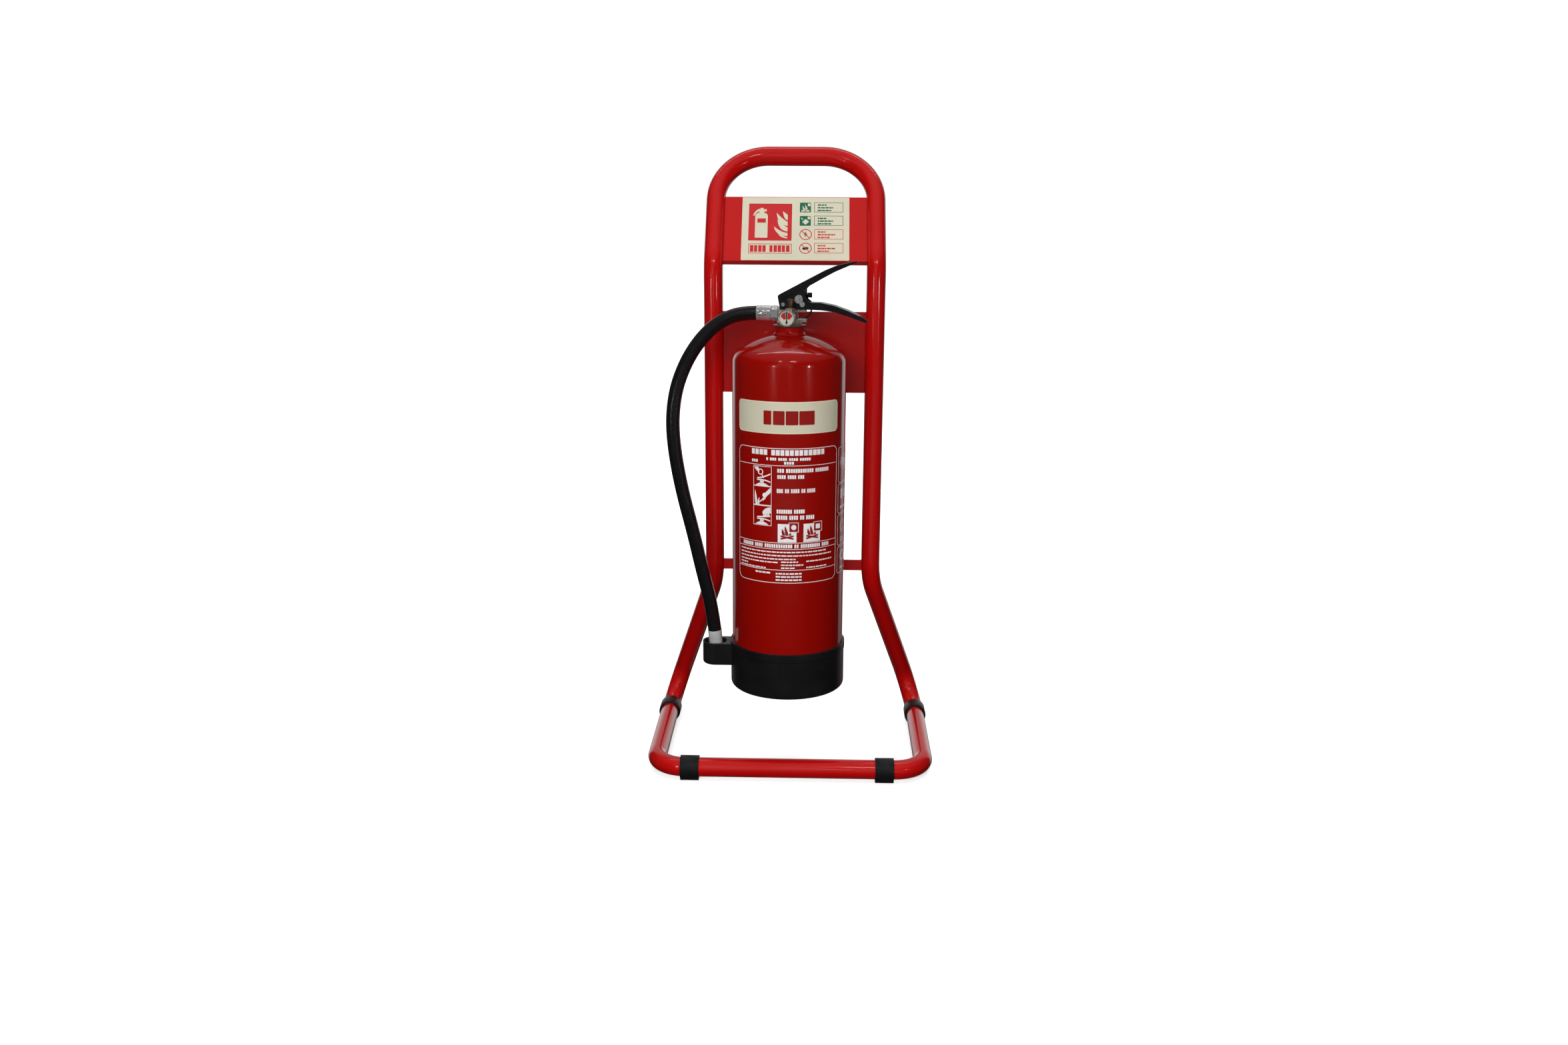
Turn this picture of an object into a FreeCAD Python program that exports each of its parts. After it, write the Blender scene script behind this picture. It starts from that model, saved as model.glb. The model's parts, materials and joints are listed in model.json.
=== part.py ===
import FreeCAD, Part
import math
import os

# Free-standing fire extinguisher stand with a foam extinguisher hanging on it.
# Millimetres. +Z is up and the floor is z = 0. +Y is the back, where the sign leans away.
# The origin is the middle of the outer box on the floor, without the hose and its nozzle.

V = FreeCAD.Vector

# ---- driving dimensions: the stand ----
TUBE_R = 14.0             # 28 mm tube
TUBE_WALL = 1.5
FOOT_WALL = 3.0           # rubber under the tube
FLOOR_Z = TUBE_R + FOOT_WALL
UPRIGHT_X = 118.0         # half the distance between the uprights
UPRIGHT_Y = 21.6
LOW_BEND_Z = 262.0        # the uprights bend into the legs here
HIGH_BEND_Z = 731.5       # the uprights bend into the leaning top here
LEAN_DEG = 33.3
LEAN_LENGTH = 185.3       # slope from the high bend to the top bar's centre
REAR_X = 199.0
REAR_Y = UPRIGHT_Y + 160.0
FRONT_X = 196.5
FRONT_Y = UPRIGHT_Y - 154.4
ARCH_BEND_R = 77.0
HIGH_BEND_R = 60.0
LOW_BEND_R = 85.0
REAR_BEND_R = 45.0
FRONT_BEND_R = 45.0
WELD_Z = 292.0            # the top loop is welded to the base loop here
FOOT_WIDTH = 27.0
FRONT_FOOT_X = (-145.0, 138.0)
REAR_FOOT_Y = UPRIGHT_Y + 76.0
SHEET = 1.5
HEM = 10.0
PANEL_LOW_Z = 545.7
PANEL_TOP_Z = 663.8
CROSSBAR_LOW_Z = 275.0
CROSSBAR_HIGH_Z = 291.0
SIGN_LOW = 5.0            # along the slope, from the high bend
SIGN_HIGH = 113.5
STICKER_HALF_X = 78.5
STICKER_MARGIN = 1.0
STICKER_T = 0.4
HOOK_BOLT_Z = (610.0, 634.0)
HOOK_HOLE_R = 3.2
HOOK_BOLT_R = 3.0
HOOK_PLATE_T = 2.5
HOOK_PLATE_LOW_Z = 598.0
HOOK_ARM_T = 3.0
TONGUE_OUT = 30.0         # behind the cylinder's axis
TONGUE_T = 3.0
TONGUE_TOP_Z = 658.0
HANGER_T = 2.0            # the hanger plate under the valve

# ---- driving dimensions: the extinguisher ----
AXIS_X = -5.0
AXIS_Y = UPRIGHT_Y - 98.0
VALVE_TURN = -6.5         # the valve is turned a little about the cylinder's axis
SHELL_R = 80.0
SHELL_WALL = 1.6
SHELL_TOP_Z = 602.0       # top of the straight wall
SHELL_LOW_Z = 175.0       # bottom of the straight wall
DOME_KNUCKLE_R = 22.0
DOME_CROWN_R = 130.0
NECK_R = 20.0
NECK_TOP_Z = 651.0
NECK_BORE_R = 13.0
CUP_R = 82.4
CUP_LOW_Z = 130.6
CUP_TOP_Z = 198.2
CUP_LIP_Z = 187.3
POCKET_X = -110.4
POCKET_R = 18.7
POCKET_BORE_R = 16.5
POCKET_LOW_Z = 159.5
POCKET_TOP_Z = 192.7
POCKET_FLOOR_Z = 162.0
NOZZLE_LENGTH = 46.0      # ferrule and nozzle together
NOZZLE_FERRULE_LENGTH = 22.0

# ---- driving dimensions: the valve, in its own frame (x along the levers) ----
OUTLET_Z = 668.5
FLANGE_Z = 653.0
BLOCK_TOP_Z = 686.2
BLOCK_HALF = 8.6
SEAT_Z = 666.0
GAUGE_Z = 664.1
PIVOT = (-7.6, 681.2)
HANDLE_RIVET = (18.9, 681.8)
PIN = (14.2, 688.6)
RIVET_R = 1.8
PIN_R = 1.9
STEM_R = 2.5
STEM_TOP_Z = 698.6
SPRING_LOW_Z = 646.0
SPRING_TOP_Z = 663.0
LEVER_IN = 9.0
LEVER_OUT = 10.4
HANDLE_IN = 10.8
HANDLE_OUT = 12.2
PORT = (3.0, -18.5)
RING_R = 14.0
HOSE_R = 9.75
FERRULE_END_X = -46.0

# ---- the hose's route from the valve's ferrule down to the nozzle's ----
HOSE_ROUTE = [
    (-50.72, -71.2, 668.5),
    (-72.6, -68.7, 668.5),
    (-98.0, -67.0, 661.5),
    (-121.0, -68.0, 647.0),
    (-141.0, -71.0, 625.5),
    (-156.5, -75.0, 597.0),
    (-167.0, -79.0, 560.0),
    (-171.0, -82.0, 517.0),
    (-166.5, -83.0, 471.0),
    (-156.0, -82.0, 415.0),
    (-141.5, -80.0, 357.0),
    (-129.0, -78.0, 299.0),
    (-114.5, -76.4, 246.0),
    (-111.5, -76.4, 208.8),
]


# ---- helpers ----
def box(x0, x1, y0, y1, z0, z1):
    return Part.makeBox(x1 - x0, y1 - y0, z1 - z0, V(x0, y0, z0))


def rod(start, end, radius):
    a = V(*start)
    b = V(*end)
    return Part.makeCylinder(radius, (b - a).Length, a, b - a)


def sleeve(start, end, outer, inner):
    return rod(start, end, outer).cut(rod(start, end, inner))


def hexagon(start, end, across):
    """A hexagonal bar from start to end, with the given size across its flats."""
    a = V(*start)
    b = V(*end)
    axis = (b - a).normalize()
    side = V(0, 0, 1) if abs(axis.z) < 0.9 else V(1, 0, 0)
    other = axis.cross(side)
    radius = across / math.sqrt(3)
    corners = []
    for k in range(7):
        turn = math.radians(60 * k)
        corners.append(a + side * (radius * math.cos(turn)) + other * (radius * math.sin(turn)))
    return Part.Face(Part.makePolygon(corners)).extrude(V(*end) - a)


def slab(outline, y0, y1):
    """A plate with an outline of (x, z) points, from y0 to y1."""
    corners = [V(x, y0, z) for x, z in outline]
    return Part.Face(Part.makePolygon(corners + corners[:1])).extrude(V(0, y1 - y0, 0))


def revolve(outline, x=0.0, y=0.0):
    """A turned solid about a vertical axis, from (radius, z) points."""
    corners = [V(r, 0, z) for r, z in outline]
    solid = Part.Face(Part.makePolygon(corners + corners[:1])).revolve(V(), V(0, 0, 1), 360)
    solid.translate(V(x, y, 0))
    return solid


def arc_points(centre, radius, start_deg, end_deg, count=8):
    points = []
    for k in range(count + 1):
        turn = math.radians(start_deg + (end_deg - start_deg) * k / count)
        points.append((centre[0] + radius * math.cos(turn), centre[1] + radius * math.sin(turn)))
    return points


def rounded_path(points, radii):
    """Straight runs through the points, joined by tangent arcs of the given radii."""
    points = [V(*p) for p in points]
    edges = []
    here = points[0]
    for i, radius in enumerate(radii, start=1):
        back = (points[i - 1] - points[i]).normalize()
        ahead = (points[i + 1] - points[i]).normalize()
        half = back.getAngle(ahead) / 2
        start = points[i] + back * (radius / math.tan(half))
        end = points[i] + ahead * (radius / math.tan(half))
        middle = (back + ahead).normalize()
        nearest = points[i] + middle * (radius / math.sin(half) - radius)
        edges.append(Part.LineSegment(here, start).toShape())
        edges.append(Part.Arc(start, nearest, end).toShape())
        here = end
    edges.append(Part.LineSegment(here, points[-1]).toShape())
    return Part.Wire(edges)


def pipe(path, radius):
    start = path.Vertexes[0].Point
    ahead = path.Edges[0].tangentAt(path.Edges[0].FirstParameter)
    profile = Part.Wire([Part.makeCircle(radius, start, ahead)])
    return path.makePipeShell([profile], True, False)


def fuse(*shapes):
    return shapes[0].fuse(list(shapes[1:])).removeSplitter()


def both_sides(make, inner, outer):
    """Two plates, one each side of the middle plane y = 0."""
    return make(inner, outer), make(-outer, -inner)


def save(node, shape):
    if shape.ShapeType != "Solid" and len(shape.Solids) == 1:
        shape = shape.Solids[0]
    note = "" if shape.isValid() else "  NOT VALID"
    print(f"{node:20s} solids {len(shape.Solids)}  volume {shape.Volume:12.1f}{note}")
    shape.exportStep(f"parts/{node}.step")


def on_valve(shape):
    """Moves a shape from the valve's own frame to its place on the cylinder."""
    placed = shape.copy()
    placed.rotate(V(), V(0, 0, 1), VALVE_TURN)
    placed.translate(V(AXIS_X, AXIS_Y, 0))
    return placed


def on_hose_end(shape):
    """Moves a shape that hangs down from the origin to the end of the hose, in line with it."""
    end = V(*HOSE_ROUTE[-1])
    last_run = end - V(*HOSE_ROUTE[-2])
    placed = shape.copy()
    placed.rotate(V(), V(0, 1, 0), -math.degrees(math.atan2(last_run.x, -last_run.z)))
    placed.translate(end)
    return placed


def on_slope(shape):
    """Moves a shape from the sign's frame (x, out of its face, along the slope)."""
    placed = shape.copy()
    placed.rotate(V(), V(1, 0, 0), -LEAN_DEG)
    placed.translate(V(0, UPRIGHT_Y, HIGH_BEND_Z))
    return placed


# ---- the stand ----
def top_loop_path():
    lean = math.radians(LEAN_DEG)
    top_y = UPRIGHT_Y + LEAN_LENGTH * math.sin(lean)
    top_z = HIGH_BEND_Z + LEAN_LENGTH * math.cos(lean)
    half = [
        (UPRIGHT_X, UPRIGHT_Y, WELD_Z),
        (UPRIGHT_X, UPRIGHT_Y, HIGH_BEND_Z),
        (UPRIGHT_X, top_y, top_z),
    ]
    other = [(-x, y, z) for x, y, z in reversed(half)]
    return rounded_path(half + other, [HIGH_BEND_R, ARCH_BEND_R, ARCH_BEND_R, HIGH_BEND_R])


def rear_foot_x():
    """Where the floor tube's side is, at the rear foot, which covers its joint with the leg."""
    return REAR_X + (FRONT_X - REAR_X) * (REAR_Y - REAR_FOOT_Y) / (REAR_Y - FRONT_Y)


def floor_loop_path():
    half = [(rear_foot_x(), REAR_FOOT_Y, FLOOR_Z), (FRONT_X, FRONT_Y, FLOOR_Z)]
    other = [(-x, y, z) for x, y, z in reversed(half)]
    return rounded_path(half + other, [FRONT_BEND_R, FRONT_BEND_R])


def leg_path(side):
    points = [
        (side * UPRIGHT_X, UPRIGHT_Y, WELD_Z),
        (side * UPRIGHT_X, UPRIGHT_Y, LOW_BEND_Z),
        (side * REAR_X, REAR_Y, FLOOR_Z),
        (side * rear_foot_x(), REAR_FOOT_Y, FLOOR_Z),
    ]
    return rounded_path(points, [LOW_BEND_R, REAR_BEND_R])


def save_tube(node, path):
    """Saves the hollow tube along the path, and gives back the same tube filled."""
    filled = pipe(path, TUBE_R)
    save(node, filled.cut(pipe(path, TUBE_R - TUBE_WALL)))
    return filled


def foot(centre, along, tube):
    """A rubber sleeve round the tube with a flat pad that stands on the floor."""
    middle = V(centre[0], centre[1], FLOOR_Z)
    half = V(*along).normalize() * (FOOT_WIDTH / 2)
    a = middle - half
    b = middle + half
    body = Part.makeCylinder(FLOOR_Z, FOOT_WIDTH, a, b - a)
    side = V(0, 0, 1).cross(half).normalize() * 9.0
    corners = [a - side, a + side, b + side, b - side]
    corners = [V(p.x, p.y, 0) for p in corners]
    pad = Part.Face(Part.makePolygon(corners + corners[:1])).extrude(V(0, 0, 8.0))
    return body.fuse(pad).removeSplitter().cut(tube)


def make_stand():
    top_solid = save_tube("top_loop", top_loop_path())
    floor_solid = save_tube("base_loop", floor_loop_path())
    left_solid = save_tube("left_leg", leg_path(-1))
    right_solid = save_tube("right_leg", leg_path(1))

    front_feet = []
    for x in FRONT_FOOT_X:
        front_feet.append(foot((x, FRONT_Y), (1, 0, 0), floor_solid))
    save("front_feet", Part.makeCompound(front_feet))
    rear_feet = []
    for side, leg in ((-1, left_solid), (1, right_solid)):
        along = (side * (REAR_X - FRONT_X), REAR_Y - FRONT_Y, 0)
        sleeve_round = foot((side * rear_foot_x(), REAR_FOOT_Y), along, floor_solid)
        rear_feet.append(sleeve_round.cut(leg))
    save("rear_feet", Part.makeCompound(rear_feet))

    # sheet panels between the uprights, with hems folded to the back
    face_y = UPRIGHT_Y - SHEET / 2
    back = face_y + SHEET
    panel = box(-UPRIGHT_X, UPRIGHT_X, face_y, back, PANEL_LOW_Z, PANEL_TOP_Z)
    for low in (PANEL_LOW_Z, PANEL_TOP_Z - SHEET):
        panel = panel.fuse(box(-UPRIGHT_X, UPRIGHT_X, face_y, face_y + HEM, low, low + SHEET))
    for z in HOOK_BOLT_Z:
        panel = panel.cut(rod((AXIS_X, face_y - 5, z), (AXIS_X, face_y + 5, z), HOOK_HOLE_R))
    save("back_plate", panel.cut(top_solid).removeSplitter())

    bar = box(
        -UPRIGHT_X, UPRIGHT_X, UPRIGHT_Y - 2, UPRIGHT_Y + 2, CROSSBAR_LOW_Z, CROSSBAR_HIGH_Z
    )
    save("crossbar", bar.cut(left_solid).cut(right_solid))

    sign = box(-UPRIGHT_X, UPRIGHT_X, -SHEET / 2, SHEET / 2, SIGN_LOW, SIGN_HIGH)
    for low in (SIGN_LOW, SIGN_HIGH - SHEET):
        sign = sign.fuse(box(-UPRIGHT_X, UPRIGHT_X, -SHEET / 2, HEM, low, low + SHEET))
    save("sign_plate", on_slope(sign).cut(top_solid).removeSplitter())
    sticker = box(
        -STICKER_HALF_X,
        STICKER_HALF_X,
        -SHEET / 2 - STICKER_T,
        -SHEET / 2,
        SIGN_LOW + STICKER_MARGIN,
        SIGN_HIGH - STICKER_MARGIN,
    )
    save("sign_sticker", on_slope(sticker))

    # the hook: a plate on the back panel, an arm, and a tongue up through the hanger
    arm_top = FLANGE_Z - HANGER_T
    arm_low = arm_top - HOOK_ARM_T
    tongue_y = AXIS_Y + TONGUE_OUT
    head_y = face_y - HOOK_PLATE_T
    hook = box(AXIS_X - 17, AXIS_X + 17, head_y, face_y, HOOK_PLATE_LOW_Z, arm_top)
    arm = box(AXIS_X - 8, AXIS_X + 8, tongue_y, face_y, arm_low, arm_top)
    tongue = box(AXIS_X - 6, AXIS_X + 6, tongue_y, tongue_y + TONGUE_T, arm_low, TONGUE_TOP_Z)
    hook = fuse(hook, arm, tongue)
    bolts = []
    washers = []
    nuts = []
    for z in HOOK_BOLT_Z:
        hook = hook.cut(rod((AXIS_X, face_y - 5, z), (AXIS_X, face_y + 5, z), HOOK_HOLE_R))
        head = rod((AXIS_X, head_y - 3.5, z), (AXIS_X, head_y, z), 5.5)
        bolts.append(head.fuse(rod((AXIS_X, head_y, z), (AXIS_X, back + 9.5, z), HOOK_BOLT_R)))
        washers.append(sleeve((AXIS_X, back, z), (AXIS_X, back + 1.4, z), 6.0, HOOK_HOLE_R))
        nut = hexagon((AXIS_X, back + 1.4, z), (AXIS_X, back + 6.4, z), 10.0)
        nuts.append(nut.cut(rod((AXIS_X, back, z), (AXIS_X, back + 8, z), HOOK_BOLT_R)))
    save("hook_bracket", hook)
    save("bracket_bolts", Part.makeCompound(bolts))
    save("bracket_washers", Part.makeCompound(washers))
    save("bracket_nuts", Part.makeCompound(nuts))


# ---- the pressure shell and what is on it ----
def shell_outline(inset):
    """Half section of the shell: dished bottom, straight wall and domed top."""
    wall = SHELL_R - inset
    knuckle = DOME_KNUCKLE_R - inset
    crown = DOME_CROWN_R - inset
    knuckle_r = SHELL_R - DOME_KNUCKLE_R
    reach = DOME_CROWN_R - DOME_KNUCKLE_R
    crown_drop = math.sqrt(reach ** 2 - knuckle_r ** 2)
    join = math.degrees(math.atan2(crown_drop, knuckle_r))
    top = arc_points((knuckle_r, SHELL_TOP_Z), knuckle, 0, join)
    top += arc_points((0, SHELL_TOP_Z - crown_drop), crown, join, 90)[1:]
    low = arc_points((0, SHELL_LOW_Z + crown_drop), crown, -90, -join)
    low += arc_points((knuckle_r, SHELL_LOW_Z), knuckle, -join, 0)[1:]
    assert abs(low[-1][0] - wall) < 1e-6
    return low + top


def make_shell():
    outer = revolve(shell_outline(0.0), AXIS_X, AXIS_Y)
    inner = revolve(shell_outline(SHELL_WALL), AXIS_X, AXIS_Y)
    collar_low = 636.0
    collar = revolve(
        [
            (NECK_BORE_R, collar_low),
            (NECK_R, collar_low),
            (NECK_R + 3.5, 639.5),
            (NECK_R + 1.0, 643.0),
            (NECK_R, 646.0),
            (NECK_R, NECK_TOP_Z - 0.8),
            (NECK_R - 0.8, NECK_TOP_Z),
            (NECK_BORE_R, NECK_TOP_Z),
        ],
        AXIS_X,
        AXIS_Y,
    )
    plug = rod((AXIS_X, AXIS_Y, collar_low - 10), (AXIS_X, AXIS_Y, NECK_TOP_Z), NECK_BORE_R)
    shell = outer.cut(inner).cut(collar).cut(plug)
    save("cylinder_shell", shell)
    save("neck_collar", collar)
    return outer


def make_cup(shell_solid):
    bottom_r = 6.0
    outline = [(0, CUP_LOW_Z)]
    outline += arc_points((CUP_R - bottom_r, CUP_LOW_Z + bottom_r), bottom_r, -90, 0, 6)
    outline += [
        (CUP_R, CUP_LIP_Z - 0.8),
        (CUP_R + 0.8, CUP_LIP_Z),
        (CUP_R + 0.8, CUP_TOP_Z - 0.8),
        (CUP_R, CUP_TOP_Z),
        (SHELL_R, CUP_TOP_Z),
        (SHELL_R, CUP_LOW_Z + 3.0),
        (0, CUP_LOW_Z + 3.0),
    ]
    cup = revolve(outline, AXIS_X, AXIS_Y)
    end = rod((POCKET_X, AXIS_Y, POCKET_LOW_Z), (POCKET_X, AXIS_Y, POCKET_TOP_Z), POCKET_R)
    y0 = AXIS_Y - POCKET_R
    y1 = AXIS_Y + POCKET_R
    bridge = box(POCKET_X, AXIS_X - 60, y0, y1, POCKET_LOW_Z, POCKET_TOP_Z)
    bridge = bridge.cut(
        rod((AXIS_X, AXIS_Y, POCKET_LOW_Z - 1), (AXIS_X, AXIS_Y, POCKET_TOP_Z + 1), SHELL_R + 1.5)
    )
    pocket = fuse(end, bridge)
    round_r = 4.0
    rims = []
    for edge in pocket.Edges:
        z = edge.BoundBox
        if z.ZMax < POCKET_LOW_Z + 0.01 and z.XMin < POCKET_X + 10:
            rims.append(edge)
    pocket = pocket.makeFillet(round_r, rims)
    hole = rod((POCKET_X, AXIS_Y, POCKET_FLOOR_Z), (POCKET_X, AXIS_Y, POCKET_TOP_Z + 1), POCKET_BORE_R)
    save("nozzle_holder", pocket.cut(hole).cut(cup).removeSplitter())
    # ribs inside the cup carry the dished bottom of the shell
    for k in range(6):
        rib = box(30, 76, -1.5, 1.5, CUP_LOW_Z + 3.0, 160.0)
        rib.rotate(V(), V(0, 0, 1), 60 * k)
        rib.translate(V(AXIS_X, AXIS_Y, 0))
        cup = cup.fuse(rib.cut(shell_solid))
    save("base_cup", cup.removeSplitter())


def wall_patch(start_deg, end_deg, low, high):
    """A label bent round the cylinder. 0 degrees is its front, positive is to the right."""
    outer = Part.makeCylinder(SHELL_R + 0.3, high - low, V(), V(0, 0, 1), end_deg - start_deg)
    inner = Part.makeCylinder(SHELL_R, high - low)
    patch = outer.cut(inner)
    patch.rotate(V(), V(0, 0, 1), start_deg - 90)
    patch.translate(V(AXIS_X, AXIS_Y, low))
    return patch


def make_labels():
    save("band_label", wall_patch(-57, 57, 512.5, 556.0))
    save("instruction_label", wall_patch(-57, 57, 302.6, 493.1))
    save("side_label", wall_patch(60, 86, 306.0, 490.0))


# ---- the valve, in its own frame ----
def make_valve_body():
    body = rod((0, 0, 634.0), (0, 0, FLANGE_Z), NECK_BORE_R - 0.1)
    body = body.fuse(rod((0, 0, FLANGE_Z), (0, 0, 657.0), 17.5))
    body = body.fuse(rod((0, 0, 657.0), (0, 0, 674.0), 12.5))
    body = body.fuse(box(-12.5, 23.0, -BLOCK_HALF, BLOCK_HALF, 671.0, BLOCK_TOP_Z))
    body = body.fuse(rod((0, 0, OUTLET_Z), (-16.1, 0, OUTLET_Z), 9.3))
    body = body.fuse(rod((-16.1, 0, OUTLET_Z), (-22.0, 0, OUTLET_Z), 7.0))
    body = body.fuse(rod((0, 0, GAUGE_Z), (0, -19.5, GAUGE_Z), 7.5))
    body = body.fuse(box(-2.5, 8.5, -17.0, -5.0, 669.5, 673.5))
    port_x, port_y = PORT
    body = body.fuse(rod((port_x, port_y, 669.5), (port_x, port_y, 673.5), 5.5))
    body = body.fuse(box(8.0, 24.0, -5.0, 5.0, 657.0, 661.0).cut(rod((0, 0, 650), (0, 0, 670), 12.0)))
    body = body.cut(rod((0, 0, 630), (0, 0, SEAT_Z), 6.5))
    body = body.cut(rod((0, 0, SEAT_Z), (0, 0, 677.0), 4.2))
    body = body.cut(rod((0, 0, 676.0), (0, 0, 690.0), STEM_R + 0.06))
    body = body.cut(rod((0, 0, OUTLET_Z + 1.0), (-30, 0, OUTLET_Z + 1.0), 3.0))
    body = body.cut(rod((0, -13.0, GAUGE_Z), (0, -25.0, GAUGE_Z), 5.0))
    body = body.cut(rod((0, -5.0, GAUGE_Z), (0, -15.0, GAUGE_Z), 1.2))
    for x, z in (PIVOT, HANDLE_RIVET):
        body = body.cut(rod((x, -20, z), (x, 20, z), RIVET_R))
    return body.removeSplitter()


def make_hanger():
    """The hanger plate under the valve. Its tab takes the hook's tongue."""
    top = FLANGE_Z
    low = top - HANGER_T
    plate = rod((0, 0, low), (0, 0, top), 23.0)
    plate = plate.fuse(box(-11.0, 11.0, 0, 41.0, low, top))
    plate = plate.cut(rod((0, 0, low - 1), (0, 0, top + 1), 16.5))
    plate = plate.cut(box(-7.0, 7.0, 28.8, 34.2, low - 1, top + 1))
    plate = plate.removeSplitter()
    plate.translate(V(AXIS_X, AXIS_Y, 0))
    seal = sleeve((0, 0, low), (0, 0, top), 16.4, NECK_BORE_R)
    save("hanger_plate", plate)
    save("neck_seal", on_valve(seal))


def make_siphon():
    flange = sleeve((0, 0, 638.0), (0, 0, SPRING_LOW_Z), 6.5, 4.5)
    tube = sleeve((0, 0, 164.0), (0, 0, 638.0), 5.5, 4.5)
    save("siphon_tube", on_valve(fuse(flange, tube)))
    low = 150.0
    basket = rod((0, 0, low), (0, 0, 176.0), 8.0).cut(rod((0, 0, low + 1.2), (0, 0, 164.0), 6.8))
    basket = basket.cut(rod((0, 0, 163.0), (0, 0, 177.0), 5.5))
    for k in range(4):
        slot = box(5.0, 9.0, -1.2, 1.2, low + 3.0, 161.0)
        slot.rotate(V(), V(0, 0, 1), 90 * k)
        basket = basket.cut(slot)
    save("siphon_strainer", on_valve(basket))


def make_stem():
    stem = rod((0, 0, 654.0), (0, 0, STEM_TOP_Z - 1.0), STEM_R)
    stem = stem.fuse(Part.makeCone(STEM_R, STEM_R - 1.0, 1.0, V(0, 0, STEM_TOP_Z - 1.0)))
    stem = stem.fuse(rod((0, 0, SPRING_TOP_Z), (0, 0, 664.5), 5.6))
    save("valve_stem", on_valve(stem.removeSplitter()))
    save("stem_seal", on_valve(sleeve((0, 0, 664.5), (0, 0, SEAT_Z), 6.0, STEM_R)))
    wire_r = 0.55
    coil_r = 4.6
    pitch = 2.9
    height = SPRING_TOP_Z - SPRING_LOW_Z - 2 * wire_r - 0.1
    helix = Part.makeHelix(pitch, height, coil_r)
    profile = Part.Wire([Part.makeCircle(wire_r, V(coil_r, 0, 0), V(0, 1, 0))])
    spring = Part.Wire(helix).makePipeShell([profile], True, True)
    spring.translate(V(0, 0, SPRING_LOW_Z + wire_r + 0.05))
    save("stem_spring", on_valve(spring))


def make_gauge():
    case = rod((0, -24.5, GAUGE_Z), (0, -34.0, GAUGE_Z), 11.4)
    case = case.cut(rod((0, -31.0, GAUGE_Z), (0, -35.0, GAUGE_Z), 10.0))
    case = case.fuse(rod((0, -13.0, GAUGE_Z), (0, -24.5, GAUGE_Z), 5.0))
    case = case.cut(rod((0, -12.0, GAUGE_Z), (0, -27.0, GAUGE_Z), 1.2))
    pivot_z = GAUGE_Z - 5.6
    dial = rod((0, -31.0, GAUGE_Z), (0, -31.5, GAUGE_Z), 10.0)
    lens = rod((0, -33.0, GAUGE_Z), (0, -33.8, GAUGE_Z), 10.0)
    hand = [(-0.9, pivot_z - 2.6), (0.9, pivot_z - 2.6), (0.25, pivot_z + 12.4), (-0.25, pivot_z + 12.4)]
    needle = slab(hand, -32.4, -32.0)
    needle = needle.fuse(rod((0, -31.56, pivot_z), (0, -32.7, pivot_z), 1.5)).removeSplitter()
    save("gauge_case", on_valve(case.removeSplitter()))
    save("gauge_dial", on_valve(dial))
    save("gauge_lens", on_valve(lens))
    save("gauge_needle", on_valve(needle))


def make_port():
    x, y = PORT
    base = hexagon((x, y, 673.5), (x, y, 676.6), 11.4)
    base = base.fuse(rod((x, y, 676.6), (x, y, 679.0), 3.6))
    cap = rod((x, y, 676.6), (x, y, 688.6), 4.7)
    cap = cap.fuse(Part.makeCone(4.7, 3.9, 0.9, V(x, y, 688.6)))
    cap = cap.cut(rod((x, y, 676.0), (x, y, 679.0), 3.6))
    save("test_port", on_valve(base))
    save("port_cap", on_valve(cap.removeSplitter()))


# ---- levers, pin and rivets, in the valve's frame ----
def grip_strip(top, low, width):
    """A bent strip between two lists of (x, z) points, across the given half width."""
    return slab(top + low[::-1], -width, width)


def make_carry_handle():
    top = [(29.5, 684.3), (43.9, 684.1), (62.4, 680.4), (80.9, 674.0), (99.4, 665.9), (108.7, 660.6)]
    under = [(29.0, 682.6), (43.6, 682.5), (61.9, 678.8), (80.3, 672.5), (98.7, 664.5), (107.9, 659.2)]
    edge = [(107.1, 657.7), (99.7, 660.0), (81.3, 666.4), (62.8, 671.9), (44.4, 674.0), (22.2, 674.6)]
    web = [(-12.5, 674.6), (-12.5, 686.0), (7.5, 696.0), (18.5, 697.5), (22.6, 694.0), (24.6, 688.4)]

    def side(y0, y1):
        return slab(edge + web + top, y0, y1)

    strip = grip_strip(top, under, HANDLE_IN)
    handle = fuse(*both_sides(side, HANDLE_IN, HANDLE_OUT), strip)
    for x, z in (PIVOT, HANDLE_RIVET):
        handle = handle.cut(rod((x, -20, z), (x, 20, z), RIVET_R))
    handle = handle.cut(rod((PIN[0], -20, PIN[1]), (PIN[0], 20, PIN[1]), PIN_R + 0.1))
    save("carry_handle", on_valve(handle.removeSplitter()))


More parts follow.
